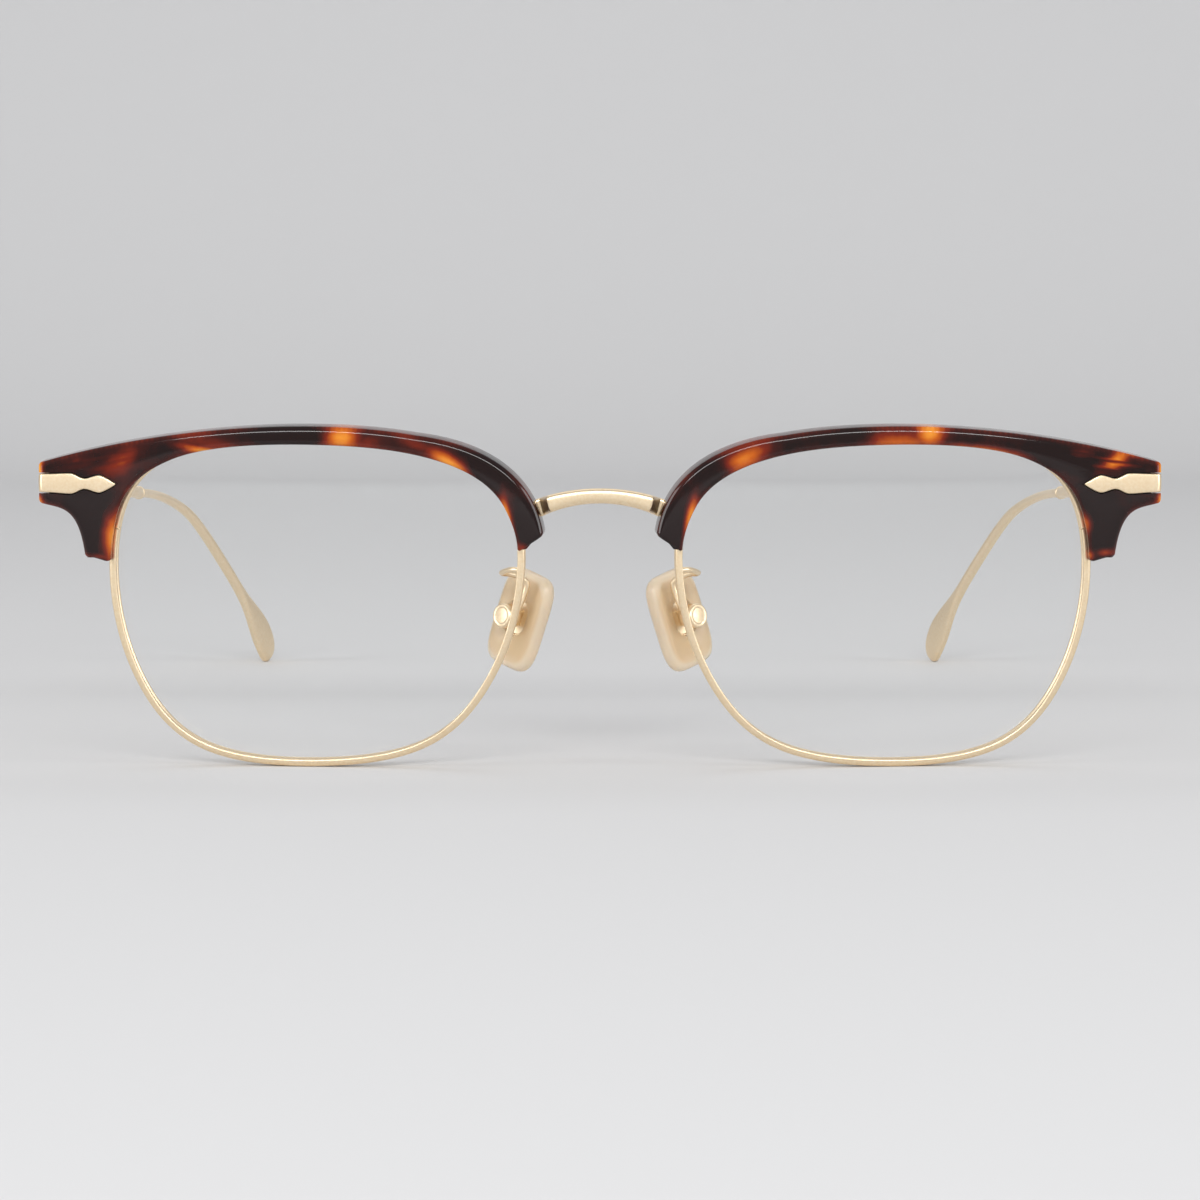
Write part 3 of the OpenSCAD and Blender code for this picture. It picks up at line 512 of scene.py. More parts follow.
# Stations crowd towards both ends, where the brow is rounded
f1 = np.concatenate([[0, 0.001, 0.004, 0.009, 0.016, 0.025], f1[4:]])
f4 = np.concatenate([f4[1:-2], [0.975, 0.984, 0.991, 0.996, 0.999, 1]])
station_t = np.concatenate([mix(BROW_SPAN[k], BROW_SPAN[k + 1], f) for k, f in enumerate((f1, f2, f3, f4))])
outer_edge = np.concatenate([bezier(BROW_CURVES[0], f1), bezier(BROW_CURVES[1], f2), lug_edge(f3),
                             bezier(BROW_CURVES[2], f4)])
print("brow stations:", len(station_t))


# %% The brow's section at each station
def brow_inset(t):
    """Where the brow's inner edge lies, counted away from the opening: halfway across the rim at the
    temple, a little inside the opening on top and by the nose, and just on the rim at the tip."""
    temple = mix(0.5, -0.07, smooth(0.9, 1.8, t))
    nose = mix(-0.23, 0.14, smooth(5, 5.5, t))
    return mix(temple, nose, smooth(3.6, 4.8, t))


out = rim_out(station_t)
inner_edge = rim_offset(station_t, brow_inset(station_t))
rebate_edge = rim_offset(station_t, np.full(len(station_t), RIM_T + SEAT))
heading = unit(np.gradient(outer_edge, axis=0))
away = np.stack([-heading[:, 1], heading[:, 0]], -1)
across = unit(outer_edge - inner_edge)
INNER_BEVEL, ROLL_W, ROLL_DROP, FACE_CROWN = 0.35, 0.5, 0.055, 0.015
at_tip = smooth(5, 5.5, station_t)[:, None]
bevel_in = inner_edge + unit(mix(out, across, at_tip)) * INNER_BEVEL
outward_at = unit(mix(away, across, at_tip))
bevel_out = outer_edge - outward_at * BEVEL
roll_in = bevel_out - outward_at * ROLL_W
section = np.stack([
    on_eye(rebate_edge, BROW_BACK), on_eye(rebate_edge, -RIM_D / 2 - SEAT),
    on_eye(inner_edge, -RIM_D / 2 - SEAT), on_eye(inner_edge, BROW_FRONT + INNER_BEVEL),
    on_eye(bevel_in, BROW_FRONT),
    *(on_eye(mix(bevel_in, roll_in, f), BROW_FRONT - FACE_CROWN) for f in (0.34, 0.67)),
    on_eye(roll_in, BROW_FRONT),
    on_eye(bevel_out, BROW_FRONT + ROLL_DROP), on_eye(outer_edge, BROW_FRONT + BEVEL * 0.85),
    on_eye(outer_edge, BROW_BACK - 0.3), on_eye(outer_edge - away * 0.3, BROW_BACK)], 1)
BROW_SETBACK = [0.2, 0.05, 0.1, 0.2, 0.25, 0.8, 0.8, 0.24, 0.2, 0.2, 0.2, 0.2]
brow_rings = rounded(section, BROW_SETBACK, 6)
print("brow rings:", brow_rings.shape[0], "of", brow_rings.shape[1], "points")

# %% Rounding of the brow's two ends
path = np.linalg.norm(np.diff(brow_rings.mean(1), axis=0), axis=-1)
from_start = np.concatenate([[0], np.cumsum(path)])
from_end = np.minimum(from_start, from_start[-1] - from_start)
shrink = END_ROUND * np.clip(1 - from_end / END_ROUND, 0, 1) ** 1.3
middle = brow_rings.mean(1, keepdims=True)
towards = middle - brow_rings
reach = np.linalg.norm(towards, axis=-1, keepdims=True)
brow_rings = brow_rings + towards * np.minimum(1, shrink[:, None, None] / reach)
front_low_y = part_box("left_brow")[0].y / MM
FRONT_Y = front_low_y - lean_only(eye_to_front(brow_rings))[..., 1].min()
print("the front's axes start at y =", round(FRONT_Y, 2))


def front_to_row(points):
    """Leaned, then moved to the front's place above the table."""
    return lean_only(points) + [0, FRONT_Y, FRONT_Z]


def eye_to_row(points):
    """From the eye's axes to the front's, and on to the row's."""
    return front_to_row(eye_to_front(points))


camera.location = (0, (FRONT_Y - SHOT_DISTANCE) * MM, SHOT_HEIGHT * MM)
camera.rotation_euler = (np.radians(90 - SHOT_DOWN), 0, 0)

# %% [markdown]
# The brow is then cut, as the real one is milled: a pocket for the plaque, a notch
# for its strap, and at the back a recess for the rim's lock and two screw holes.
# Cutting bodies are subtracted with a Boolean, and the result is kept as the mesh.

# %% Axes of the lug
LUG_TILT = np.degrees(np.arcsin(LUG_V / BASE_R))
LUG_FRONT = sag(LUG_U, LUG_V) + BROW_FRONT
PROUD, POCKET_GAP = 0.12, 0.12


def lug_to_eye(points):
    """Tilted as the sphere is at the lug's height, and moved there."""
    return turned(points, 0, -LUG_TILT) + [0, LUG_FRONT, LUG_V]


def lug_face(u):
    """Depth of the brow's face along the lug, from its depth at the end."""
    return sag(u, LUG_V) - sag(LUG_U, LUG_V)


print("the lug tilts", round(LUG_TILT, 2), "degrees and its face lies at", round(LUG_FRONT, 2))


def plaque_half(s):
    """Half height of the plaque at a distance from the brow's end: a body, a swelling, a waist, a
    second swelling and a point."""
    k = PLAQUE_L / 10.5
    body = mix(STRAP_H / 2 + 0.03, 1.33, smooth(1.2 * k, 4.3 * k, s))
    waist = mix(body, 0.7, smooth(4.4 * k, 6.3 * k, s))
    swell = mix(waist, 1.14, smooth(6.3 * k, 8.3 * k, s))
    point = 1.14 * np.maximum(0, 1 - (np.maximum(s - 8.3 * k, 0) / (2.2 * k)) ** 1.25) ** 0.9
    return np.where(s < 8.3 * k, swell, point)


# %% Cutting bodies for the brow
def plaque_outline(grow, steps=90):
    """The plaque's outline seen from the front, widened by a gap."""
    s = PLAQUE_L * (1 - (1 - np.linspace(0, 1, steps)) ** 1.3)
    half_height = plaque_half(s) + grow
    upper = np.stack([LUG_U - s, half_height], -1)[:-1]
    lower = upper[::-1] * [1, -1]
    return np.concatenate([[[LUG_U + 2, half_height[0]]], upper, [[LUG_U - s[-1] - grow, 0]], lower,
                           [[LUG_U + 2, -half_height[0]]]])[::-1]


def pocket_cutter():
    """The plaque's outline carried from in front of the face to the pocket's floor, flared at the face
    by a fine chamfer."""
    rings = []
    floor = PLAQUE_T - PROUD + POCKET_GAP
    for depth, grow in ((-3, 0.17), (-0.06, 0.17), (0.04, POCKET_GAP), (floor, POCKET_GAP)):
        outline = plaque_outline(grow)
        face = lug_face(np.minimum(outline[:, 0], LUG_U)) if depth > -1 else 0
        level = np.full(len(outline), depth) + face
        rings.append(np.stack([outline[:, 0], level, outline[:, 1]], -1))
    return skin(lug_to_eye(np.array(rings)))


def block(low, high, edge=0.03):
    """A box between two corners, with fine rounded edges, along the third axis."""
    (x0, y0, z0), (x1, y1, z1) = low, high
    outline = rounded([[x0, y0], [x1, y0], [x1, y1], [x0, y1]], 2.5 * edge, 4)
    return plate(outline, z0, z1, edge)


def at_lock(points):
    """From the axes of the rim's lock to the eye's: turned with the rim, and moved to the place where
    it opens."""
    edge, outwards = rim_edge(np.array([LOCK_AT])), rim_out(np.array([LOCK_AT]))[0]
    lean = np.degrees(np.arctan2(outwards[1], outwards[0]))
    return turned(points, 1, -lean) + on_eye(edge, 0)[0]


def at_screw(points, place):
    """From a brow screw's axes to the eye's: its head points backwards, square to the sphere."""
    u, v = place
    q = turned(points, 0, 90)
    q = turned(q, 0, -np.degrees(np.arcsin(v / BASE_R)))
    q = turned(q, 2, np.degrees(np.arcsin(u / BASE_R)))
    return q + on_eye(np.array(place), BROW_BACK)


LOCK_W, LOCK_HALF = 2.3, 1.6
SCREW_R, SCREW_IN, RUN_GAP = 0.6, 2, 0.04
LUG_SCREW, NASAL_SCREW = (LUG_U - 4.7, LUG_V), (-EYE_W / 2 - 1.35, 10.3)
notch = block((LUG_U - STRAP_T - POCKET_GAP, -4, -STRAP_H / 2 - 0.03 - POCKET_GAP),
              (LUG_U + 1.8, BROW_D + 5, STRAP_H / 2 + 0.03 + POCKET_GAP))
LIP_BACK = -RIM_D / 2 - SEAT
recess = block((0, LIP_BACK, -9), (RIM_T + SEAT + LOCK_W + 0.2, LIP_BACK + BROW_D, LOCK_HALF + 0.15))
hole = lathe([[SCREW_R + RUN_GAP, -1], [SCREW_R + RUN_GAP, SCREW_IN + 0.1]], 40)
cutters = [pocket_cutter(), skin(lug_to_eye(notch)), skin(at_lock(recess)),
           skin(at_screw(hole, LUG_SCREW)), skin(at_screw(hole, NASAL_SCREW))]
print("cutting bodies:", len(cutters))


# %% Cut the brow
def bare(name, shape):
    """A mesh object with no material, in the eye's axes and in millimetres."""
    points, faces = shape
    mesh = bpy.data.meshes.new(name)
    mesh.from_pydata(points.tolist(), [], outward(points, faces))
    made = bpy.data.objects.new(name, mesh)
    bpy.context.scene.collection.objects.link(made)
    return made


def cut(shape, tools):
    """The shape less each tool, as points and faces."""
    body = bare("blank", shape)
    helpers = [bare("cutter", tool) for tool in tools]
    for helper in helpers:
        step = body.modifiers.new("cut", "BOOLEAN")
        step.operation, step.solver, step.object = "DIFFERENCE", "MANIFOLD", helper
    result = body.evaluated_get(bpy.context.evaluated_depsgraph_get()).data
    points = np.zeros(len(result.vertices) * 3)
    result.vertices.foreach_get("co", points)
    faces = [list(polygon.vertices) for polygon in result.polygons]
    for used in [body, *helpers]:
        bpy.data.objects.remove(used)
    return points.reshape(-1, 3), faces


brow_points, brow_faces = cut(skin(brow_rings), cutters)
print("the cut brow has", len(brow_points), "points and", len(brow_faces), "faces")

# %% [markdown]
# The patches of the acetate are soft ellipses at listed places, in the eye's
# own axes, some amber and some dark, and the two brows don't share them. The edges
# are painted a little redder than the middle, a painted glow for light that comes through
# from the side, and the narrow amber patches along the edges paint the same glow.

# %% Amber and painted edge glow at each point of a brow
# The narrow amber patches along the edges, at the lug's end, on the leg and by the nose, are painted glow
# Each patch: its middle (u, v), its two radii, its tilt in degrees and its strength,
# which is negative for a dark one
PATCHES = {
    "right": [
        (36, 16.4, 0.5, 1.5, 0, 0.75), (25, 17.8, 2.6, 1.1, -35, 0.34), (30.5, 17.8, 1.4, 0.8, 0, 0.2),
        (13.4, 19.4, 3.2, 0.5, 12, 0.55), (13.5, 20.6, 3.6, 1.2, 10, 0.22),
        (-3.8, 21.4, 1.9, 1.3, 0, 0.66), (-6, 20.8, 3, 1.2, 0, 0.2), (-17.3, 18.4, 2.6, 0.8, 30, 0.62),
        (-13.6, 20.4, 3, 0.7, 20, 0.22), (-24.6, 11.3, 0.5, 2.4, -8, 0.55),
        (26.3, 8.6, 1.1, 2.6, 0, 0.48), (36, 12.6, 0.6, 0.7, 0, 0.5), (28, 5.7, 1.8, 0.4, 0, 0.25),
        (-26.8, 7.2, 0.7, 0.7, 0, 0.3), (3.2, 21.4, 3, 1.8, 0, -0.3), (-22, 17.4, 1.6, 2.2, 45, -0.3),
        (-27.4, 10.2, 1.2, 2, 0, -0.25), (28.6, 11, 2, 3.5, 0, -0.2)],
    "left": [
        (36, 16.4, 0.5, 1.4, 0, 0.6), (36, 12.8, 0.7, 0.8, 0, 0.5), (29.6, 17.8, 1.7, 0.8, 30, 0.62),
        (31.6, 18.9, 1.6, 0.5, -12, 0.35), (24.8, 18.9, 1.4, 0.6, 0, 0.25),
        (12.5, 19.6, 4.5, 0.5, -9, 0.36), (5.4, 21.8, 1.6, 1.2, 0, 0.66), (0.8, 21, 4.5, 1.2, 0, 0.4),
        (-18.1, 18.9, 2.6, 1.1, 26, 0.55), (-21.8, 17, 2.2, 1.2, 40, 0.2),
        (-25, 11.8, 0.5, 2.2, -14, 0.5), (25.8, 10, 1, 1.2, 0, 0.38), (25.6, 5.9, 1.2, 0.5, 0, 0.45),
        (28.4, 6.2, 1.1, 0.5, 0, 0.4), (17, 17.2, 3, 0.4, -35, 0.22), (22.5, 18.4, 3, 1.3, -15, -0.25),
        (27.8, 10.5, 1.6, 3, 0, -0.25), (-22.4, 16.6, 1.6, 2, 45, -0.25),
        (-27.4, 10, 1.2, 2, 0, -0.25), (-4, 21.4, 2.2, 1.6, 0, -0.2)]}
# Painted glow along the brow's outline, for light that comes through the thin edges
PAINTED_EDGE_GLOW, EDGE_MM = 0.16, 0.45


def amber_and_edge_glow_at(points, patches):
    """The strongest amber and the strongest dark patch at each point, each a bell curve, plus the painted
    glow near the outline."""
    uv = points[:, [0, 2]]
    strength, dark = np.zeros(len(uv)), np.zeros(len(uv))
    for u, v, wide, high, tilt, share in patches:
        q = turned(np.column_stack([uv - [u, v], 0 * uv[:, 0]]), 2, -tilt)
        bell = share * np.exp(-((q[:, 0] / wide) ** 2 + (q[:, 1] / high) ** 2) * 0.7)
        strength, dark = np.maximum(strength, bell), np.minimum(dark, bell)
    outline = np.concatenate([outer_edge, inner_edge])[::2]
    near = np.sqrt(((uv[:, None] - outline) ** 2).sum(-1)).min(1)
    return strength + dark + PAINTED_EDGE_GLOW * np.exp(-((near / EDGE_MM) ** 2))


for side, sign in (("left", 1), ("right", -1)):
    row_points = eye_to_row(brow_points) * [sign, 1, 1]
    brow = piece(f"{side}_brow_acetate", (row_points, brow_faces), acetate, "front",
                 [f"{side}_brow"])
    values = amber_and_edge_glow_at(brow_points, PATCHES[side])
    layer = brow.data.attributes.new("amber_and_edge_glow", "FLOAT", "POINT")
    layer.data.foreach_set("value", values.astype(np.float32))
    print(side, "brow: mean amber", round(float(values.mean()), 3))

pair("rim_wire", placed(skin(rim_rings), eye_to_row), gold, "front", ["rim"])

# %% [markdown]
# ## Lenses
# A lens is a shell between two spheres, ground to the rim's outline with a bevel
# that sits in the groove. Its rings run from the middle of the front face over the
# edge to the middle of the back.

# %% Lens
BEVEL_W = 0.33
LENS_SIDES = 240
lens_t = np.linspace(0, len(RIM_POINTS), LENS_SIDES, endpoint=False)
share = np.linspace(0.02, 1, 14)[:, None, None]
edge_uv = rim_offset(lens_t, np.full(LENS_SIDES, -0.03))
tip_uv = rim_offset(lens_t, np.full(LENS_SIDES, GROOVE_D - 0.08))
faces_uv = edge_uv * share
lens_rings = np.concatenate([
    on_eye(faces_uv, -LENS_T / 2), on_eye(edge_uv, -BEVEL_W)[None], on_eye(tip_uv, 0)[None],
    on_eye(edge_uv, BEVEL_W)[None], on_eye(faces_uv[::-1], LENS_T / 2)])
pair("lens_shell", placed(skin(lens_rings), eye_to_row), lens_plastic, "front", ["lens"])

# %% [markdown]
# ## Bridge
# The bridge is a bar milled from a block: an arch seen from the front, whose ends
# step back behind the brows and are screwed there. Its path is drawn from above, and
# at each place along it the arch gives the height of its upper and lower edge.

# %% Bridge bar
BRIDGE_H, BRIDGE_R, BRIDGE_UNDER_R, BRIDGE_D = 1.95, 25, 17.5, 1.7
BRIDGE_V, BRIDGE_DIP, BRIDGE_FACE = 14.9, 8, -0.9
BRIDGE_BAR, BRIDGE_TAB, BRIDGE_REACH = 6.65, 7.6, NOSE_W / 2 + 0.55
STEP_LEAN, STEP_V = 14, 12.7
PLATE_T, PLATE_GAP = 0.9, 0.16


def behind_brow(x, v):
    """Depth of the brow's back at a place of the front, plus a small gap."""
    u = (x - EYE_X) / np.cos(np.radians(WRAP))
    return eye_to_front(on_eye(np.array([u, v]), BROW_BACK))[1] + PLATE_GAP


tab_y, reach_y = behind_brow(BRIDGE_TAB, 11.5), behind_brow(BRIDGE_REACH, 9.5)
front_line = np.array([[0, BRIDGE_FACE], [BRIDGE_BAR, BRIDGE_FACE], [BRIDGE_TAB, tab_y],
                       [BRIDGE_REACH, reach_y]])
rear_line = np.array([[0, BRIDGE_FACE + BRIDGE_D], [BRIDGE_BAR - 1, BRIDGE_FACE + BRIDGE_D],
                      [BRIDGE_TAB - 0.5, tab_y + PLATE_T], [BRIDGE_REACH, reach_y + PLATE_T]])


def arch(x, y):
    """Height of the upper and lower edge: a circle each, sinking towards the back by the dip."""
    sink = (y - BRIDGE_FACE) * np.tan(np.radians(BRIDGE_DIP))
    top = BRIDGE_V - BRIDGE_R + np.sqrt(BRIDGE_R**2 - x**2) - sink
    under = BRIDGE_V - BRIDGE_H - BRIDGE_UNDER_R + np.sqrt(BRIDGE_UNDER_R**2 - x**2) - sink
    return top, under


def along_line(line, f, corner=0.06):
    """Points along a bent line at equal shares of each stretch, its bends rounded over a small share."""
    def straight(g):
        """The point at share g: a straight mix of the two corners of its stretch."""
        s = np.clip(g, 0, 1) * (len(line) - 1)
        i = np.minimum(s.astype(int), len(line) - 2)
        return mix(line[i], line[i + 1], (s - i)[:, None])
    return (straight(f - corner) + 2 * straight(f) + straight(f + corner)) / 4


f = np.concatenate([np.linspace(0, 0.26, 24), np.linspace(0.27, 0.74, 48), np.linspace(0.76, 0.985, 16)])
near, far = along_line(front_line, f, 0.012), along_line(rear_line, f, 0.03)
near, far = (np.concatenate([side[:0:-1] * [-1, 1], side]) for side in (near, far))
corners = []
for side, level in ((near, 0), (near, 1), (far, 1), (far, 0)):
    x, y = side.T
    sign, reach = np.sign(x), np.abs(x)
    place = reach
    # The step leans outwards with height and the arch depends on the place, so it is
    # found by repeating
    for _ in range(6):
        height = arch(place, y)[level]
        leaning = BRIDGE_TAB + (reach - BRIDGE_TAB) / np.cos(np.radians(STEP_LEAN))
        leaning = leaning + (height - STEP_V) * np.tan(np.radians(STEP_LEAN))
        place = mix(reach, leaning, smooth(1, 6, reach))
    corners.append(np.column_stack([sign * place, y, arch(place, y)[level]]))
bridge_rings = rounded(np.stack(corners, 1), [0.9, 0.9, 0.45, 0.45], 11)
bridge_shape = placed(skin(bridge_rings), front_to_row)
piece("bridge_bar", bridge_shape, gold, "front", ["bridge"], sharp=30)
print("bridge reaches", BRIDGE_REACH, "mm to each side")

# %% [markdown]
# ## End pieces
# Each end piece starts as a flat strip of metal. Its front end is shaped into the
# inlaid plaque, then it bends round the end of the brow, runs back beside it and
# ends in the hinge. It is one profile along one path, whose height changes.

# %% Axes of the hinge
hinge = next(joint for joint in frame["joints"] if joint["name"] == "left_hinge")
HINGE = np.array(hinge["pos_m"]) / MM
SLOPE = np.degrees(np.arctan2(hinge["axis"][1], hinge["axis"][2]))
BARREL_R, HINGE_H, HINGE_SCREW_R = 1.15, 4.4, 0.5
LEG_L, CORNER_R = 3.6, 0.8
LEG_BACK = BROW_D + 0.6
STRAP_X = BARREL_R + SEAT


def hinge_to_row(points):
    """Tilted by the slope of the temples and moved to the hinge."""
    return turned(points, 0, -SLOPE) + HINGE


def temple_to_row(points):
    """Turned about the hinge by the toe-in, then carried as the hinge is."""
    return hinge_to_row(turned(points, 2, TOE_IN))


print("hinge at", HINGE.round(2), "and the temples slope by", round(SLOPE, 2))

# %% Strap and plaque
PLAQUE_STEPS, BEND_STEPS, LEG_STEPS = 70, 15, 12
STRAP_SETBACK = [0.22, 3, 0.22, 0.15, 0.15]
end_u = LUG_U - 0.03
plaque_u = np.linspace(LUG_U - PLAQUE_L + 0.05, end_u - CORNER_R, PLAQUE_STEPS)
a = np.radians(np.linspace(0, 90, BEND_STEPS + 1))
bend = np.stack([end_u - CORNER_R + CORNER_R * np.sin(a),
                 lug_face(end_u - CORNER_R) - PROUD + CORNER_R * (1 - np.cos(a))], -1)
leg_y = np.linspace(1.2, LEG_BACK - 0.4, LEG_STEPS)
outer = np.concatenate([np.stack([plaque_u, lug_face(plaque_u) - PROUD], -1), bend[1:],
                        np.stack([np.full(LEG_STEPS, end_u), leg_y], -1)])
direction = unit(np.gradient(outer, axis=0))
inward = np.stack([-direction[:, 1], direction[:, 0]], -1)
thick = np.concatenate([np.full(PLAQUE_STEPS, PLAQUE_T), np.linspace(PLAQUE_T, STRAP_T, BEND_STEPS),
                        np.full(LEG_STEPS, STRAP_T)])
tall = np.concatenate([np.maximum(plaque_half(LUG_U - plaque_u), 0.02),
                       np.full(BEND_STEPS + LEG_STEPS, STRAP_H / 2)])
corners = [np.column_stack([outer + inward * (thick * d)[:, None], tall * s])
           for d, s in ((0, 1), (0, 0), (0, -1), (1, -1), (1, 1))]
crowned = np.stack(corners, 1)
crowned[:, 1, :2] -= inward * np.minimum(tall / 1.2, 1)[:, None] * 0.06
strap_rings = rounded(crowned, STRAP_SETBACK, 6)
leg_steps = np.linspace(-LEG_L + 0.5, -0.14, 14)
strap_out = STRAP_X + STRAP_T
leg_box = [[strap_out, STRAP_H / 2], [strap_out + 0.03, 0], [strap_out, -STRAP_H / 2],
           [STRAP_X, -STRAP_H / 2], [STRAP_X, STRAP_H / 2]]
leg_x, leg_z = rounded(leg_box, STRAP_SETBACK, 6).T
leg_rings = np.stack(np.broadcast_arrays(leg_x, leg_steps[:, None], leg_z), -1)
whole = np.concatenate([eye_to_row(lug_to_eye(strap_rings)), hinge_to_row(leg_rings)])
pair("end_strap", skin(whole), gold, "front", ["end_piece"], sharp=30)

# %% [markdown]
# Behind the brow the end piece has a plate that a screw holds, and at its end it
# carries two knuckles of the hinge. The third knuckle belongs to the temple.

# %% Back plate
PLATE_IN = 6.4
PLATE_FOOT = -PLATE_IN + 1.6
# Each corner of the plate: its distance from the brow's end, and its height
PLATE_CORNERS = [[0.4, -STRAP_H / 2], [0.4, STRAP_H / 2], [6, 1.9], [9.5, 0.6], [9.9, -2], [9.9, PLATE_FOOT],
                 [7.6, PLATE_FOOT], [6.5, -2.6], [3.5, -STRAP_H / 2]]
flat = rounded(np.array(PLATE_CORNERS) * [-1, 1] + [LUG_U, 0], 0.5, 8)
stack = plate(flat, 0, PLATE_T, 0.15)
back_depth = lug_face(stack[..., 0]) + BROW_D + PLATE_GAP + stack[..., 2]
back_rings = np.stack([stack[..., 0], back_depth, stack[..., 1]], -1)
back_shape = skin(eye_to_row(lug_to_eye(back_rings)))
pair("end_back_plate", back_shape, gold, "front", sharp=30)

# %% Hinge knuckles and their web
BARREL_GAP = 0.05
KNUCKLE = (HINGE_H - 2 * BARREL_GAP) / 3
WEB_FROM, WEB_INTO = 0.6, 0.1


def knuckle(low, high):
    """A short tube with fine chamfers, as a closed profile turned about the hinge's axis."""
    bore, c = HINGE_SCREW_R + RUN_GAP, 0.08
    profile = [[bore, low], [BARREL_R - c, low], [BARREL_R, low + c], [BARREL_R, high - c],
               [BARREL_R - c, high], [bore, high]]
    return hoop(lathe(profile, 56))


for name, low in (("lower", -HINGE_H / 2), ("upper", HINGE_H / 2 - KNUCKLE)):
    tube_shape = placed(knuckle(low, low + KNUCKLE), hinge_to_row)
    pair(f"{name}_knuckle", tube_shape, gold, "front", sharp=30)
    web = block((WEB_FROM, -BARREL_R, low), (STRAP_X + WEB_INTO, -WEB_INTO, low + KNUCKLE), 0.06)
    pair(f"{name}_knuckle_web", placed(skin(web), hinge_to_row), gold, "front", sharp=30)
backing = block((STRAP_X - 0.35, -LEG_L + 0.4, -HINGE_H / 2),
                (STRAP_X + WEB_INTO, -WEB_INTO, HINGE_H / 2), 0.1)
pair("hinge_plate", placed(skin(backing), hinge_to_row), gold, "front", sharp=30)

# %% [markdown]
# ## Temples
# A temple has a round front bar with a collar, and a thinner wire that leaves it,
# bends down behind the ear and is hammered into a flat paddle. The bar is a stack of
# rings whose shape goes from the hinge's flat neck to a circle.

# %% Temple bar
BAR_L, BAR_DIA, COLLAR_DIA, WIRE_DIA, COLLAR_L, SOCKET_L = 72, 1.7, 2, 1.35, 0.8, 3
BAR_X = STRAP_X + STRAP_T / 2 - 0.1
RING_SIDES = 48


def squared(a, b, power, count=RING_SIDES):
    """A ring between an ellipse and its box: the cosine and sine raised to a power below one."""
    angle = 2 * np.pi * (np.arange(count) + 0.5) / count
    c, s = np.cos(angle), np.sin(angle)
    return np.stack([a * np.sign(c) * np.abs(c) ** power, b * np.sign(s) * np.abs(s) ** power], -1)


neck_y = np.concatenate([[0.13, 0.18, 0.3], np.linspace(0.6, 6.2, 30)])
to_round = smooth(3.2, 5.6, neck_y)
edge_in = np.where(neck_y < 0.3, (0.3 - neck_y) * 0.7, 0)
rings = []
for y, g, e in zip(neck_y, to_round, edge_in):
    half_w, half_h = mix(STRAP_T / 2, BAR_DIA / 2, g), mix(STRAP_H / 2, BAR_DIA / 2, g)
    flat_ring = squared(half_w - e, half_h - e, mix(0.25, 1, g))
    x = mix(STRAP_X + STRAP_T / 2, BAR_X, g)
    rings.append(np.column_stack([flat_ring[:, 0] + x, np.full(RING_SIDES, y), flat_ring[:, 1]]))
r = COLLAR_DIA / 2
collar_y = BAR_L - COLLAR_L
bead = [(BAR_DIA / 2, y) for y in np.linspace(8, collar_y - 0.05, 24)]
BEAD_R = 0.3
bead += [(r - BEAD_R + BEAD_R * np.sin(b), BAR_L - BEAD_R - BEAD_R * np.cos(b) - 0.2)
         for b in np.radians([0, 30, 60, 90])]
bead += [(r - BEAD_R + BEAD_R * np.cos(b), BAR_L - BEAD_R + BEAD_R * np.sin(b))
         for b in np.radians([0, 22, 45, 68, 90])]
wire_hole = WIRE_DIA / 2 - 0.15
bead += [(wire_hole + 0.06, BAR_L), (wire_hole, BAR_L - 0.06), (wire_hole, BAR_L - SOCKET_L)]
for radius, y in bead:
    ring = squared(radius, radius, 1)
    rings.append(np.column_stack([ring[:, 0] + BAR_X, np.full(RING_SIDES, y), ring[:, 1]]))
bar_shape = placed(skin(np.array(rings)), temple_to_row)
pair("temple_bar_metal", bar_shape, gold, "temple", ["temple_bar"], sharp=32)
tube_shape = placed(knuckle(-KNUCKLE / 2, KNUCKLE / 2), temple_to_row)
pair("temple_knuckle", tube_shape, gold, "temple", sharp=30)
web = block((WEB_FROM, WEB_INTO, -KNUCKLE / 2), (STRAP_X + 0.3, BARREL_R, KNUCKLE / 2), 0.06)
pair("temple_knuckle_web", placed(skin(web), temple_to_row), gold, "temple", sharp=30)

# %% Temple tip
PADDLE_W, PADDLE_T, PADDLE_TWIST = 5.2, 1.3, 20
TIP_ROUTE = [[0, -SOCKET_L + 0.3, 0], [0, 0.05, 0], [-0.3, 8.8, 0], [-0.7, 15.9, -0.2], [-1.3, 21.9, -0.7],
             [-2.3, 27, -1.6], [-3.6, 31.1, -3.1], [-5.1, 35.3, -5.7], [-7.1, 39.6, -9.6], [-9.4, 44, -14.3],
             [-11.7, 48.4, -19.5], [-13.4, 52, -24.4], [-13.7, 53.56, -27.1]]
FLARE, BELLY = 0.74, 0.89


def tip_at(f):
    """The wire's route, from the end of the bar."""
    return open_spline(TIP_ROUTE, f) + [BAR_X, BAR_L, 0]


def circle_share(x, r):
    """Height of a circle of radius r at a distance x from its middle, nothing beyond it."""
    return np.sqrt(np.maximum(0, r * r - x * x))


def tip_size(f):
    """Width and thickness along the route: thin in the socket, a slowly growing wire, then the paddle,
    rounded at its end."""
    socket = 1 / (len(TIP_ROUTE) - 1)
    wire = mix(WIRE_DIA, WIRE_DIA + 0.5, smooth(0.2, FLARE, f))
    wide = mix(wire, PADDLE_W, smooth(FLARE, BELLY, f))
    wide = wide * np.where(f < BELLY, 1, circle_share((f - BELLY) / (1.002 - BELLY), 1))
    thick = mix(mix(WIRE_DIA, WIRE_DIA + 0.3, smooth(0.2, FLARE, f)), PADDLE_T, smooth(FLARE, BELLY, f))
    thick = thick * np.where(f < 0.94, 1, 0.35 + 0.65 * circle_share((f - 0.94) / 0.061, 1))
    thin = WIRE_DIA - 0.34
    return np.where(f < socket, thin, wide), np.where(f < socket, thin, thick)


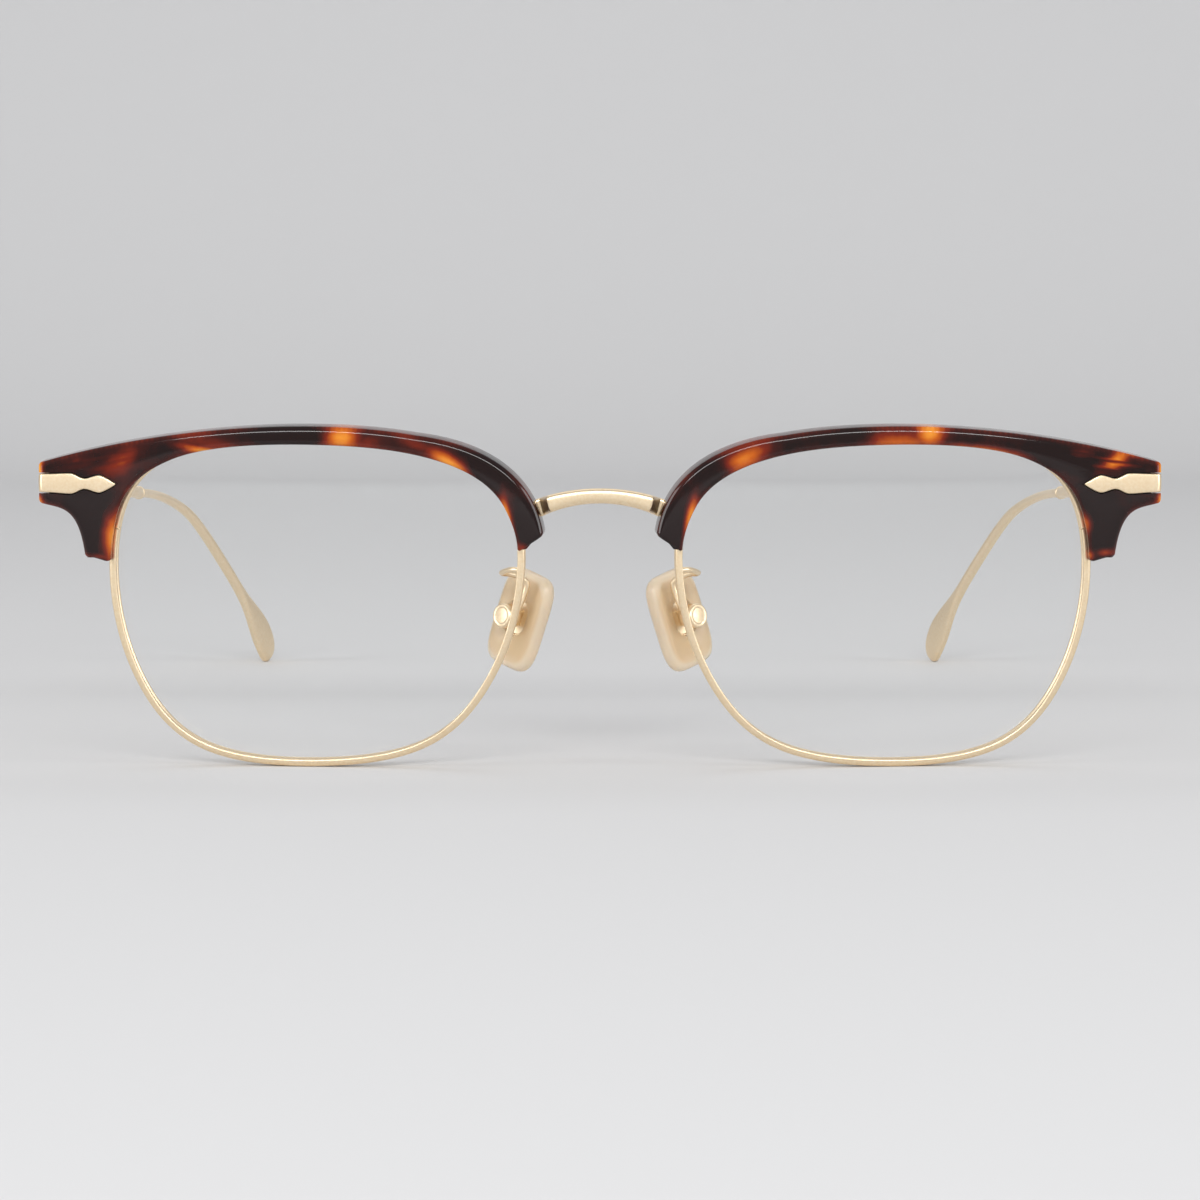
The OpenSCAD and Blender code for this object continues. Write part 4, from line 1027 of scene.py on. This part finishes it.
socket = 1 / (len(TIP_ROUTE) - 1)
f = np.concatenate([[0, 0.995 * socket, 1.012 * socket],
                    mix(1.012 * socket, 0.9985, 1 - (1 - np.linspace(0, 1, 240)[1:]) ** 1.25)])
ahead = unit(tip_at(np.minimum(1, f + 0.004)) - tip_at(np.maximum(0, f - 0.004)))
flatness = smooth(FLARE, BELLY, f)
side = unit(np.cross(ahead, [-1, 0, 0]))
face = np.cross(side, ahead)
twist = np.radians(PADDLE_TWIST * flatness)[:, None]
wide_axis = side * np.cos(twist) + face * np.sin(twist)
thin_axis = face * np.cos(twist) - side * np.sin(twist)
width, thickness = tip_size(f)
angle = 2 * np.pi * (np.arange(40) + 0.5) / 40
power = (1 - 0.35 * flatness)[:, None]
across = np.sign(np.cos(angle)) * np.abs(np.cos(angle)) ** power * width[:, None] / 2
through = np.sign(np.sin(angle)) * np.abs(np.sin(angle)) ** power * thickness[:, None] / 2
tip_rings = tip_at(f)[:, None] + wide_axis[:, None] * across[..., None]
tip_rings += thin_axis[:, None] * through[..., None]
tip_shape = placed(skin(tip_rings), temple_to_row)
pair("temple_tip_metal", tip_shape, gold, "temple", ["temple_tip"], sharp=50)

# %% [markdown]
# ## Nose pads
# A pad is a small silicone pillow moulded round a metal plate. The plate's tongue
# sits in a round box on the end of a bent wire arm, and a pin lets the pad rock.

# %% Axes of a pad
PAD_X, PAD_Y, PAD_V, PAD_SPLAY, PAD_FLARE = NOSE_W / 2, 9.2, -3.7, 46, 17
PAD_L, PAD_W, PAD_T, PAD_MID, CORE_UP = 13, 8.5, 2.2, -0.2, 0.25
CORE_T, CORE_L, CORE_W = 0.7, 5.6, 4.2
PAD_EDGE, WINDOW_MARGIN = 1.05, 0.3
BOX_DIA, BOX_FROM, BOX_TO, PIN_OUT, TONGUE_T, TONGUE_W = 3.2, 1.6, 3.7, 2.05, 0.9, 2.2


def pad_to_front(points):
    """Turned by the splay, seen from above, then by the flare, seen from the front, and moved out."""
    return turned(turned(points, 2, -PAD_SPLAY), 1, -PAD_FLARE) + [PAD_X, PAD_Y, PAD_V]


def core_to_row(points):
    """Raised to the core's place on the pad, then carried as the pad is."""
    return front_to_row(pad_to_front(np.asarray(points) + [0, 0, CORE_UP]))


print("a pad splays", PAD_SPLAY, "degrees and flares", PAD_FLARE)

# %% Pad pillow, with the window in its outer side
def pillow(levels=25, sides=96):
    """Rings of a rounded rectangle: wide in the middle of the thickness and drawn in towards both
    faces by a round edge."""
    a = np.radians(np.linspace(-90, 90, levels))[:, None]
    b = 2 * np.pi * np.arange(sides) / sides
    r = 1 - 2 * PAD_EDGE / PAD_W * (1 - np.cos(a))
    x = PAD_MID + PAD_T / 2 * np.sin(a) + 0 * b
    y = PAD_W / 2 * r * np.sign(np.cos(b)) * np.abs(np.cos(b)) ** 0.46
    z = (PAD_L / 2 - (1 - r) * PAD_W / 2) * np.sign(np.sin(b)) * np.abs(np.sin(b)) ** 0.46
    return np.stack([x, y, z], -1)


def stadium(grow, depth, count=64):
    """Ring of a bar with round ends at a depth in the pad: a circle whose two halves are pulled apart."""
    angle = 2 * np.pi * (np.arange(count) + 0.5) / count
    r = CORE_W / 2 + grow
    c, s = np.cos(angle) * r, np.sin(angle) * r
    return np.stack([np.full(count, depth), c, s + np.sign(s) * (CORE_L - CORE_W) / 2], -1)


pad_face = PAD_MID + PAD_T / 2
window = np.array([stadium(-WINDOW_MARGIN, PAD_MID), stadium(-WINDOW_MARGIN, pad_face - 0.16),
                   stadium(-WINDOW_MARGIN + 0.05, pad_face - 0.06),
                   stadium(-WINDOW_MARGIN + 0.16, pad_face + 0.01),
                   stadium(-WINDOW_MARGIN + 0.16, pad_face + 1)]) + [0, 0, CORE_UP]
pad_points, pad_faces = cut(skin(pillow()), [skin(window)])
pad_shape = (front_to_row(pad_to_front(pad_points)), pad_faces)
pads = pair("pad_pillow", pad_shape, silicone, "pad", ["nose_pad"])
# Painted light: the paler tan near the outline paints light coming through the thin edges
shares = np.abs(pad_points[:, 1:] / [PAD_W / 2, PAD_L / 2])
outline_share = (shares**4).sum(-1) ** 0.25
for pad in pads:
    layer = pad.data.attributes.new("pale_edge_glow", "FLOAT", "POINT")
    layer.data.foreach_set("value", smooth(0.7, 1, outline_share).astype(np.float32))

# %% [markdown]
# The core lies at the bottom of the window. A raised lip runs round it, which on the
# real part keeps the soft silicone from creeping over the metal.

# %% Metal core with its tongue
core_low, core_high = PAD_MID - CORE_T / 2, PAD_MID + CORE_T / 2
core_rings = [(-0.1, core_low), (-0.03, core_low + 0.03), (0, core_low + 0.1), (0, core_high - 0.1),
              (-0.1, core_high), (-0.34, core_high), (-0.36, core_high + 0.2), (-0.42, core_high + 0.27),
              (-0.5, core_high + 0.27), (-0.58, core_high + 0.2), (-0.64, core_high + 0.02),
              (-0.8, core_high)]
core_shape = placed(skin(np.array([stadium(grow, depth) for grow, depth in core_rings])), core_to_row)
pair("pad_core_plate", core_shape, gold, "pad", ["pad_core"], sharp=40)
TONGUE_TIP, TONGUE_END_HALF = PIN_OUT + 0.7, 0.5
tongue_corners = [[0, -TONGUE_W / 2], [TONGUE_TIP, -TONGUE_END_HALF], [TONGUE_TIP, TONGUE_END_HALF],
                  [0, TONGUE_W / 2]]
tongue = plate(rounded(tongue_corners, 0.4, 6), -TONGUE_T / 2, TONGUE_T / 2, 0.08)[..., [0, 2, 1]]
pair("pad_core_tongue", placed(skin(tongue), core_to_row), gold, "pad")

# %% [markdown]
# The box is a small turned cap with a slot for the tongue. Its face is a plain raised
# ring round a shallow dish.

# %% Box on the arm's end
BOX_R = BOX_DIA / 2
box_profile = [(0.35, BOX_FROM), (BOX_R - 0.06, BOX_FROM), (BOX_R, BOX_FROM + 0.06), (BOX_R, BOX_TO - 0.35)]
box_profile += [(BOX_R - 0.3 * (1 - np.cos(b)), BOX_TO - 0.35 + 0.32 * np.sin(b))
                for b in np.radians([20, 45, 70, 90])]
box_profile += [(BOX_R - 0.5, BOX_TO - 0.06), (BOX_R - 0.62, BOX_TO - 0.12), (0.4, BOX_TO - 0.08),
                (0.02, BOX_TO - 0.07)]
box_rings = lathe(box_profile, 64)[..., [2, 0, 1]]
slot_width = TONGUE_T + 0.2
slot_block = block((BOX_FROM - 1, -slot_width / 2, -BOX_DIA), (PIN_OUT + 0.85, slot_width / 2, BOX_DIA), 0.02)
box_shape = placed(cut(skin(box_rings), [skin(slot_block)]), core_to_row)
pair("pad_box_cap", box_shape, gold, "front", ["pad_box"], sharp=30)

# %% Pad arm
ARM_DIA = 0.75
SOLDER_GAP, HOLD_R = 0.05, BOX_R + 0.3
arm_foot = eye_to_front(on_eye(rim_offset(np.array(ARM_AT), RIM_T / 2), (RIM_D + ARM_DIA) / 2 + SOLDER_GAP))
hold = np.radians(50)
arm_hold = pad_to_front(np.array([BOX_FROM + 0.9, -HOLD_R * np.sin(hold), CORE_UP + HOLD_R * np.cos(hold)]))
ARM_STEPS_FROM_FOOT = [[0, 0, 0], [1.3, 0.8, 0], [2.4, 2.2, -0.5], [2.6, 3.6, -0.9], [1.2, 4.9, -1.3],
                       [-0.4, 5.2, -2.3], [-0.1, 5.2, -4]]
arm_route = np.vstack([arm_foot + ARM_STEPS_FROM_FOOT, arm_hold])


def tube(route, radii, sides=24):
    """A round wire along a route: each ring stands square to the route, and its first direction is
    carried on by projection."""
    ahead = unit(np.gradient(route, axis=0))
    normals = [unit(np.array([0, 0, 1.0]) - ahead[0] * ahead[0, 2])]
    for step in ahead[1:]:
        normals.append(unit(normals[-1] - step * (normals[-1] @ step)))
    normals = np.array(normals)
    sideways = np.cross(ahead, normals)
    b = 2 * np.pi * np.arange(sides) / sides
    circle = normals[:, None] * np.cos(b)[:, None] + sideways[:, None] * np.sin(b)[:, None]
    return route[:, None] + circle * np.asarray(radii)[:, None, None]


f = np.linspace(0, 1, 140)
solder = 0.28 * np.exp(-f / 0.012) + 0.2 * np.exp(-(1 - f) / 0.015)
arm_rings = tube(open_spline(arm_route, f), ARM_DIA / 2 + solder)
pair("pad_arm_wire", placed(skin(arm_rings), front_to_row), gold, "front", ["pad_arm"])


# %% [markdown]
# ## Small hardware
# Screws, pins and the rim's lock keep the exact shape of the solids. A copy of each
# gets its doubled points merged and a fine bevel, which is what makes a machined
# edge catch the light.

# %% Bevelled copies of the small solids
def machined(node, body, bevel_mm=0.04):
    """A copy of a solid with merged points, flat faces joined and every sharp edge bevelled."""
    mesh = bpy.data.meshes.new(node + "_metal")
    work = bmesh.new()
    work.from_mesh(frame["nodes"][node].data)
    bmesh.ops.remove_doubles(work, verts=work.verts, dist=1e-6)
    bmesh.ops.dissolve_limit(work, angle_limit=np.radians(1), verts=work.verts, edges=work.edges)
    work.to_mesh(mesh)
    work.free()
    mesh.shade_smooth()
    mesh.materials.append(gold)
    made = bpy.data.objects.new(mesh.name, mesh)
    bpy.context.scene.collection.objects.link(made)
    step = made.modifiers.new("machined_edge", "BEVEL")
    step.width, step.segments, step.limit_method, step.angle_limit = bevel_mm * MM, 2, "ANGLE", np.radians(35)
    step.harden_normals = True
    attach(made, body)
    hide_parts(node)
    return made


for side in ("left", "right"):
    for part in ("rim_lock", "lock_screw", "brow_screws", "hinge_screw", "pad_pin"):
        machined(f"{side}_{part}", "front")

# %% [markdown]
# ## Studio
# A seamless pale sheet runs under the glasses and up behind them. A long narrow lamp
# in front and above draws the light line on the brows, a wide one behind lights the
# upper sides, two at the sides shape the metal, and an even sky fills the shadows.

# %% Floor and backdrop in one sheet
SHEET_HALF_W, SHEET_NEAR, SHEET_FAR, SHEET_UP, SHEET_BEND = 1500, -1400, 700, 1300, 300
paper, tree, shader = finish("matt_paper_sheet", Roughness=0.9, Specular_IOR_Level=0.1)
shader.inputs["Base Color"].default_value = linear("#D2D2D3")
bend_angle = np.radians(np.linspace(0, 90, 24))
run = np.concatenate([[[SHEET_NEAR, 0]],
                      np.stack([SHEET_FAR + SHEET_BEND * np.sin(bend_angle),
                                SHEET_BEND * (1 - np.cos(bend_angle))], -1),
                      [[SHEET_FAR + SHEET_BEND, SHEET_UP]]])
SHEET_COLUMNS = 3
columns = np.linspace(-SHEET_HALF_W, SHEET_HALF_W, SHEET_COLUMNS)
sheet_points = np.array([[x, y, z] for y, z in run for x in columns]) * MM
sheet_faces = [[first, first + 1, first + SHEET_COLUMNS + 1, first + SHEET_COLUMNS]
               for row in range(len(run) - 1)
               for first in range(row * SHEET_COLUMNS, (row + 1) * SHEET_COLUMNS - 1)]
sheet_mesh = bpy.data.meshes.new("paper_sheet")
sheet_mesh.from_pydata(sheet_points.tolist(), [], sheet_faces)
sheet_mesh.shade_smooth()
sheet_mesh.materials.append(paper)
sheet = bpy.data.objects.new("paper_sheet", sheet_mesh)
bpy.context.scene.collection.objects.link(sheet)
print("the sheet has", len(sheet_faces), "faces")


# %% Lamps and world
def soft_lamp(name, place, aim, width, height, watts):
    """A rectangular lamp that points from its place to its aim."""
    data = bpy.data.lights.new(name, "AREA")
    data.shape, data.size, data.size_y, data.energy = "RECTANGLE", width, height, watts
    lamp = bpy.data.objects.new(name, data)
    bpy.context.scene.collection.objects.link(lamp)
    lamp.location = place
    lamp.rotation_euler = (Vector(aim) - Vector(place)).to_track_quat("-Z", "Y").to_euler()
    return lamp


soft_lamp("front_lamp", (0, -1.0, 0.46), (0, 0, 0.02), 1.2, 0.12, 8.5)
soft_lamp("top_lamp", (0, 0.65, 1.35), (0, 0, 0), 1.8, 0.6, 4)
soft_lamp("left_lamp", (-0.95, -0.4, 0.3), (0, 0, 0.02), 0.3, 0.6, 3)
soft_lamp("right_lamp", (0.95, -0.4, 0.3), (0, 0, 0.02), 0.3, 0.6, 3)
world = bpy.data.worlds.new("studio")
bpy.context.scene.world = world
world.use_nodes = True
sky = world.node_tree.nodes["Background"]
sky.inputs["Color"].default_value, sky.inputs["Strength"].default_value = linear("#FFFFFF"), 0.5
bpy.context.scene.view_settings.view_transform = "Standard"
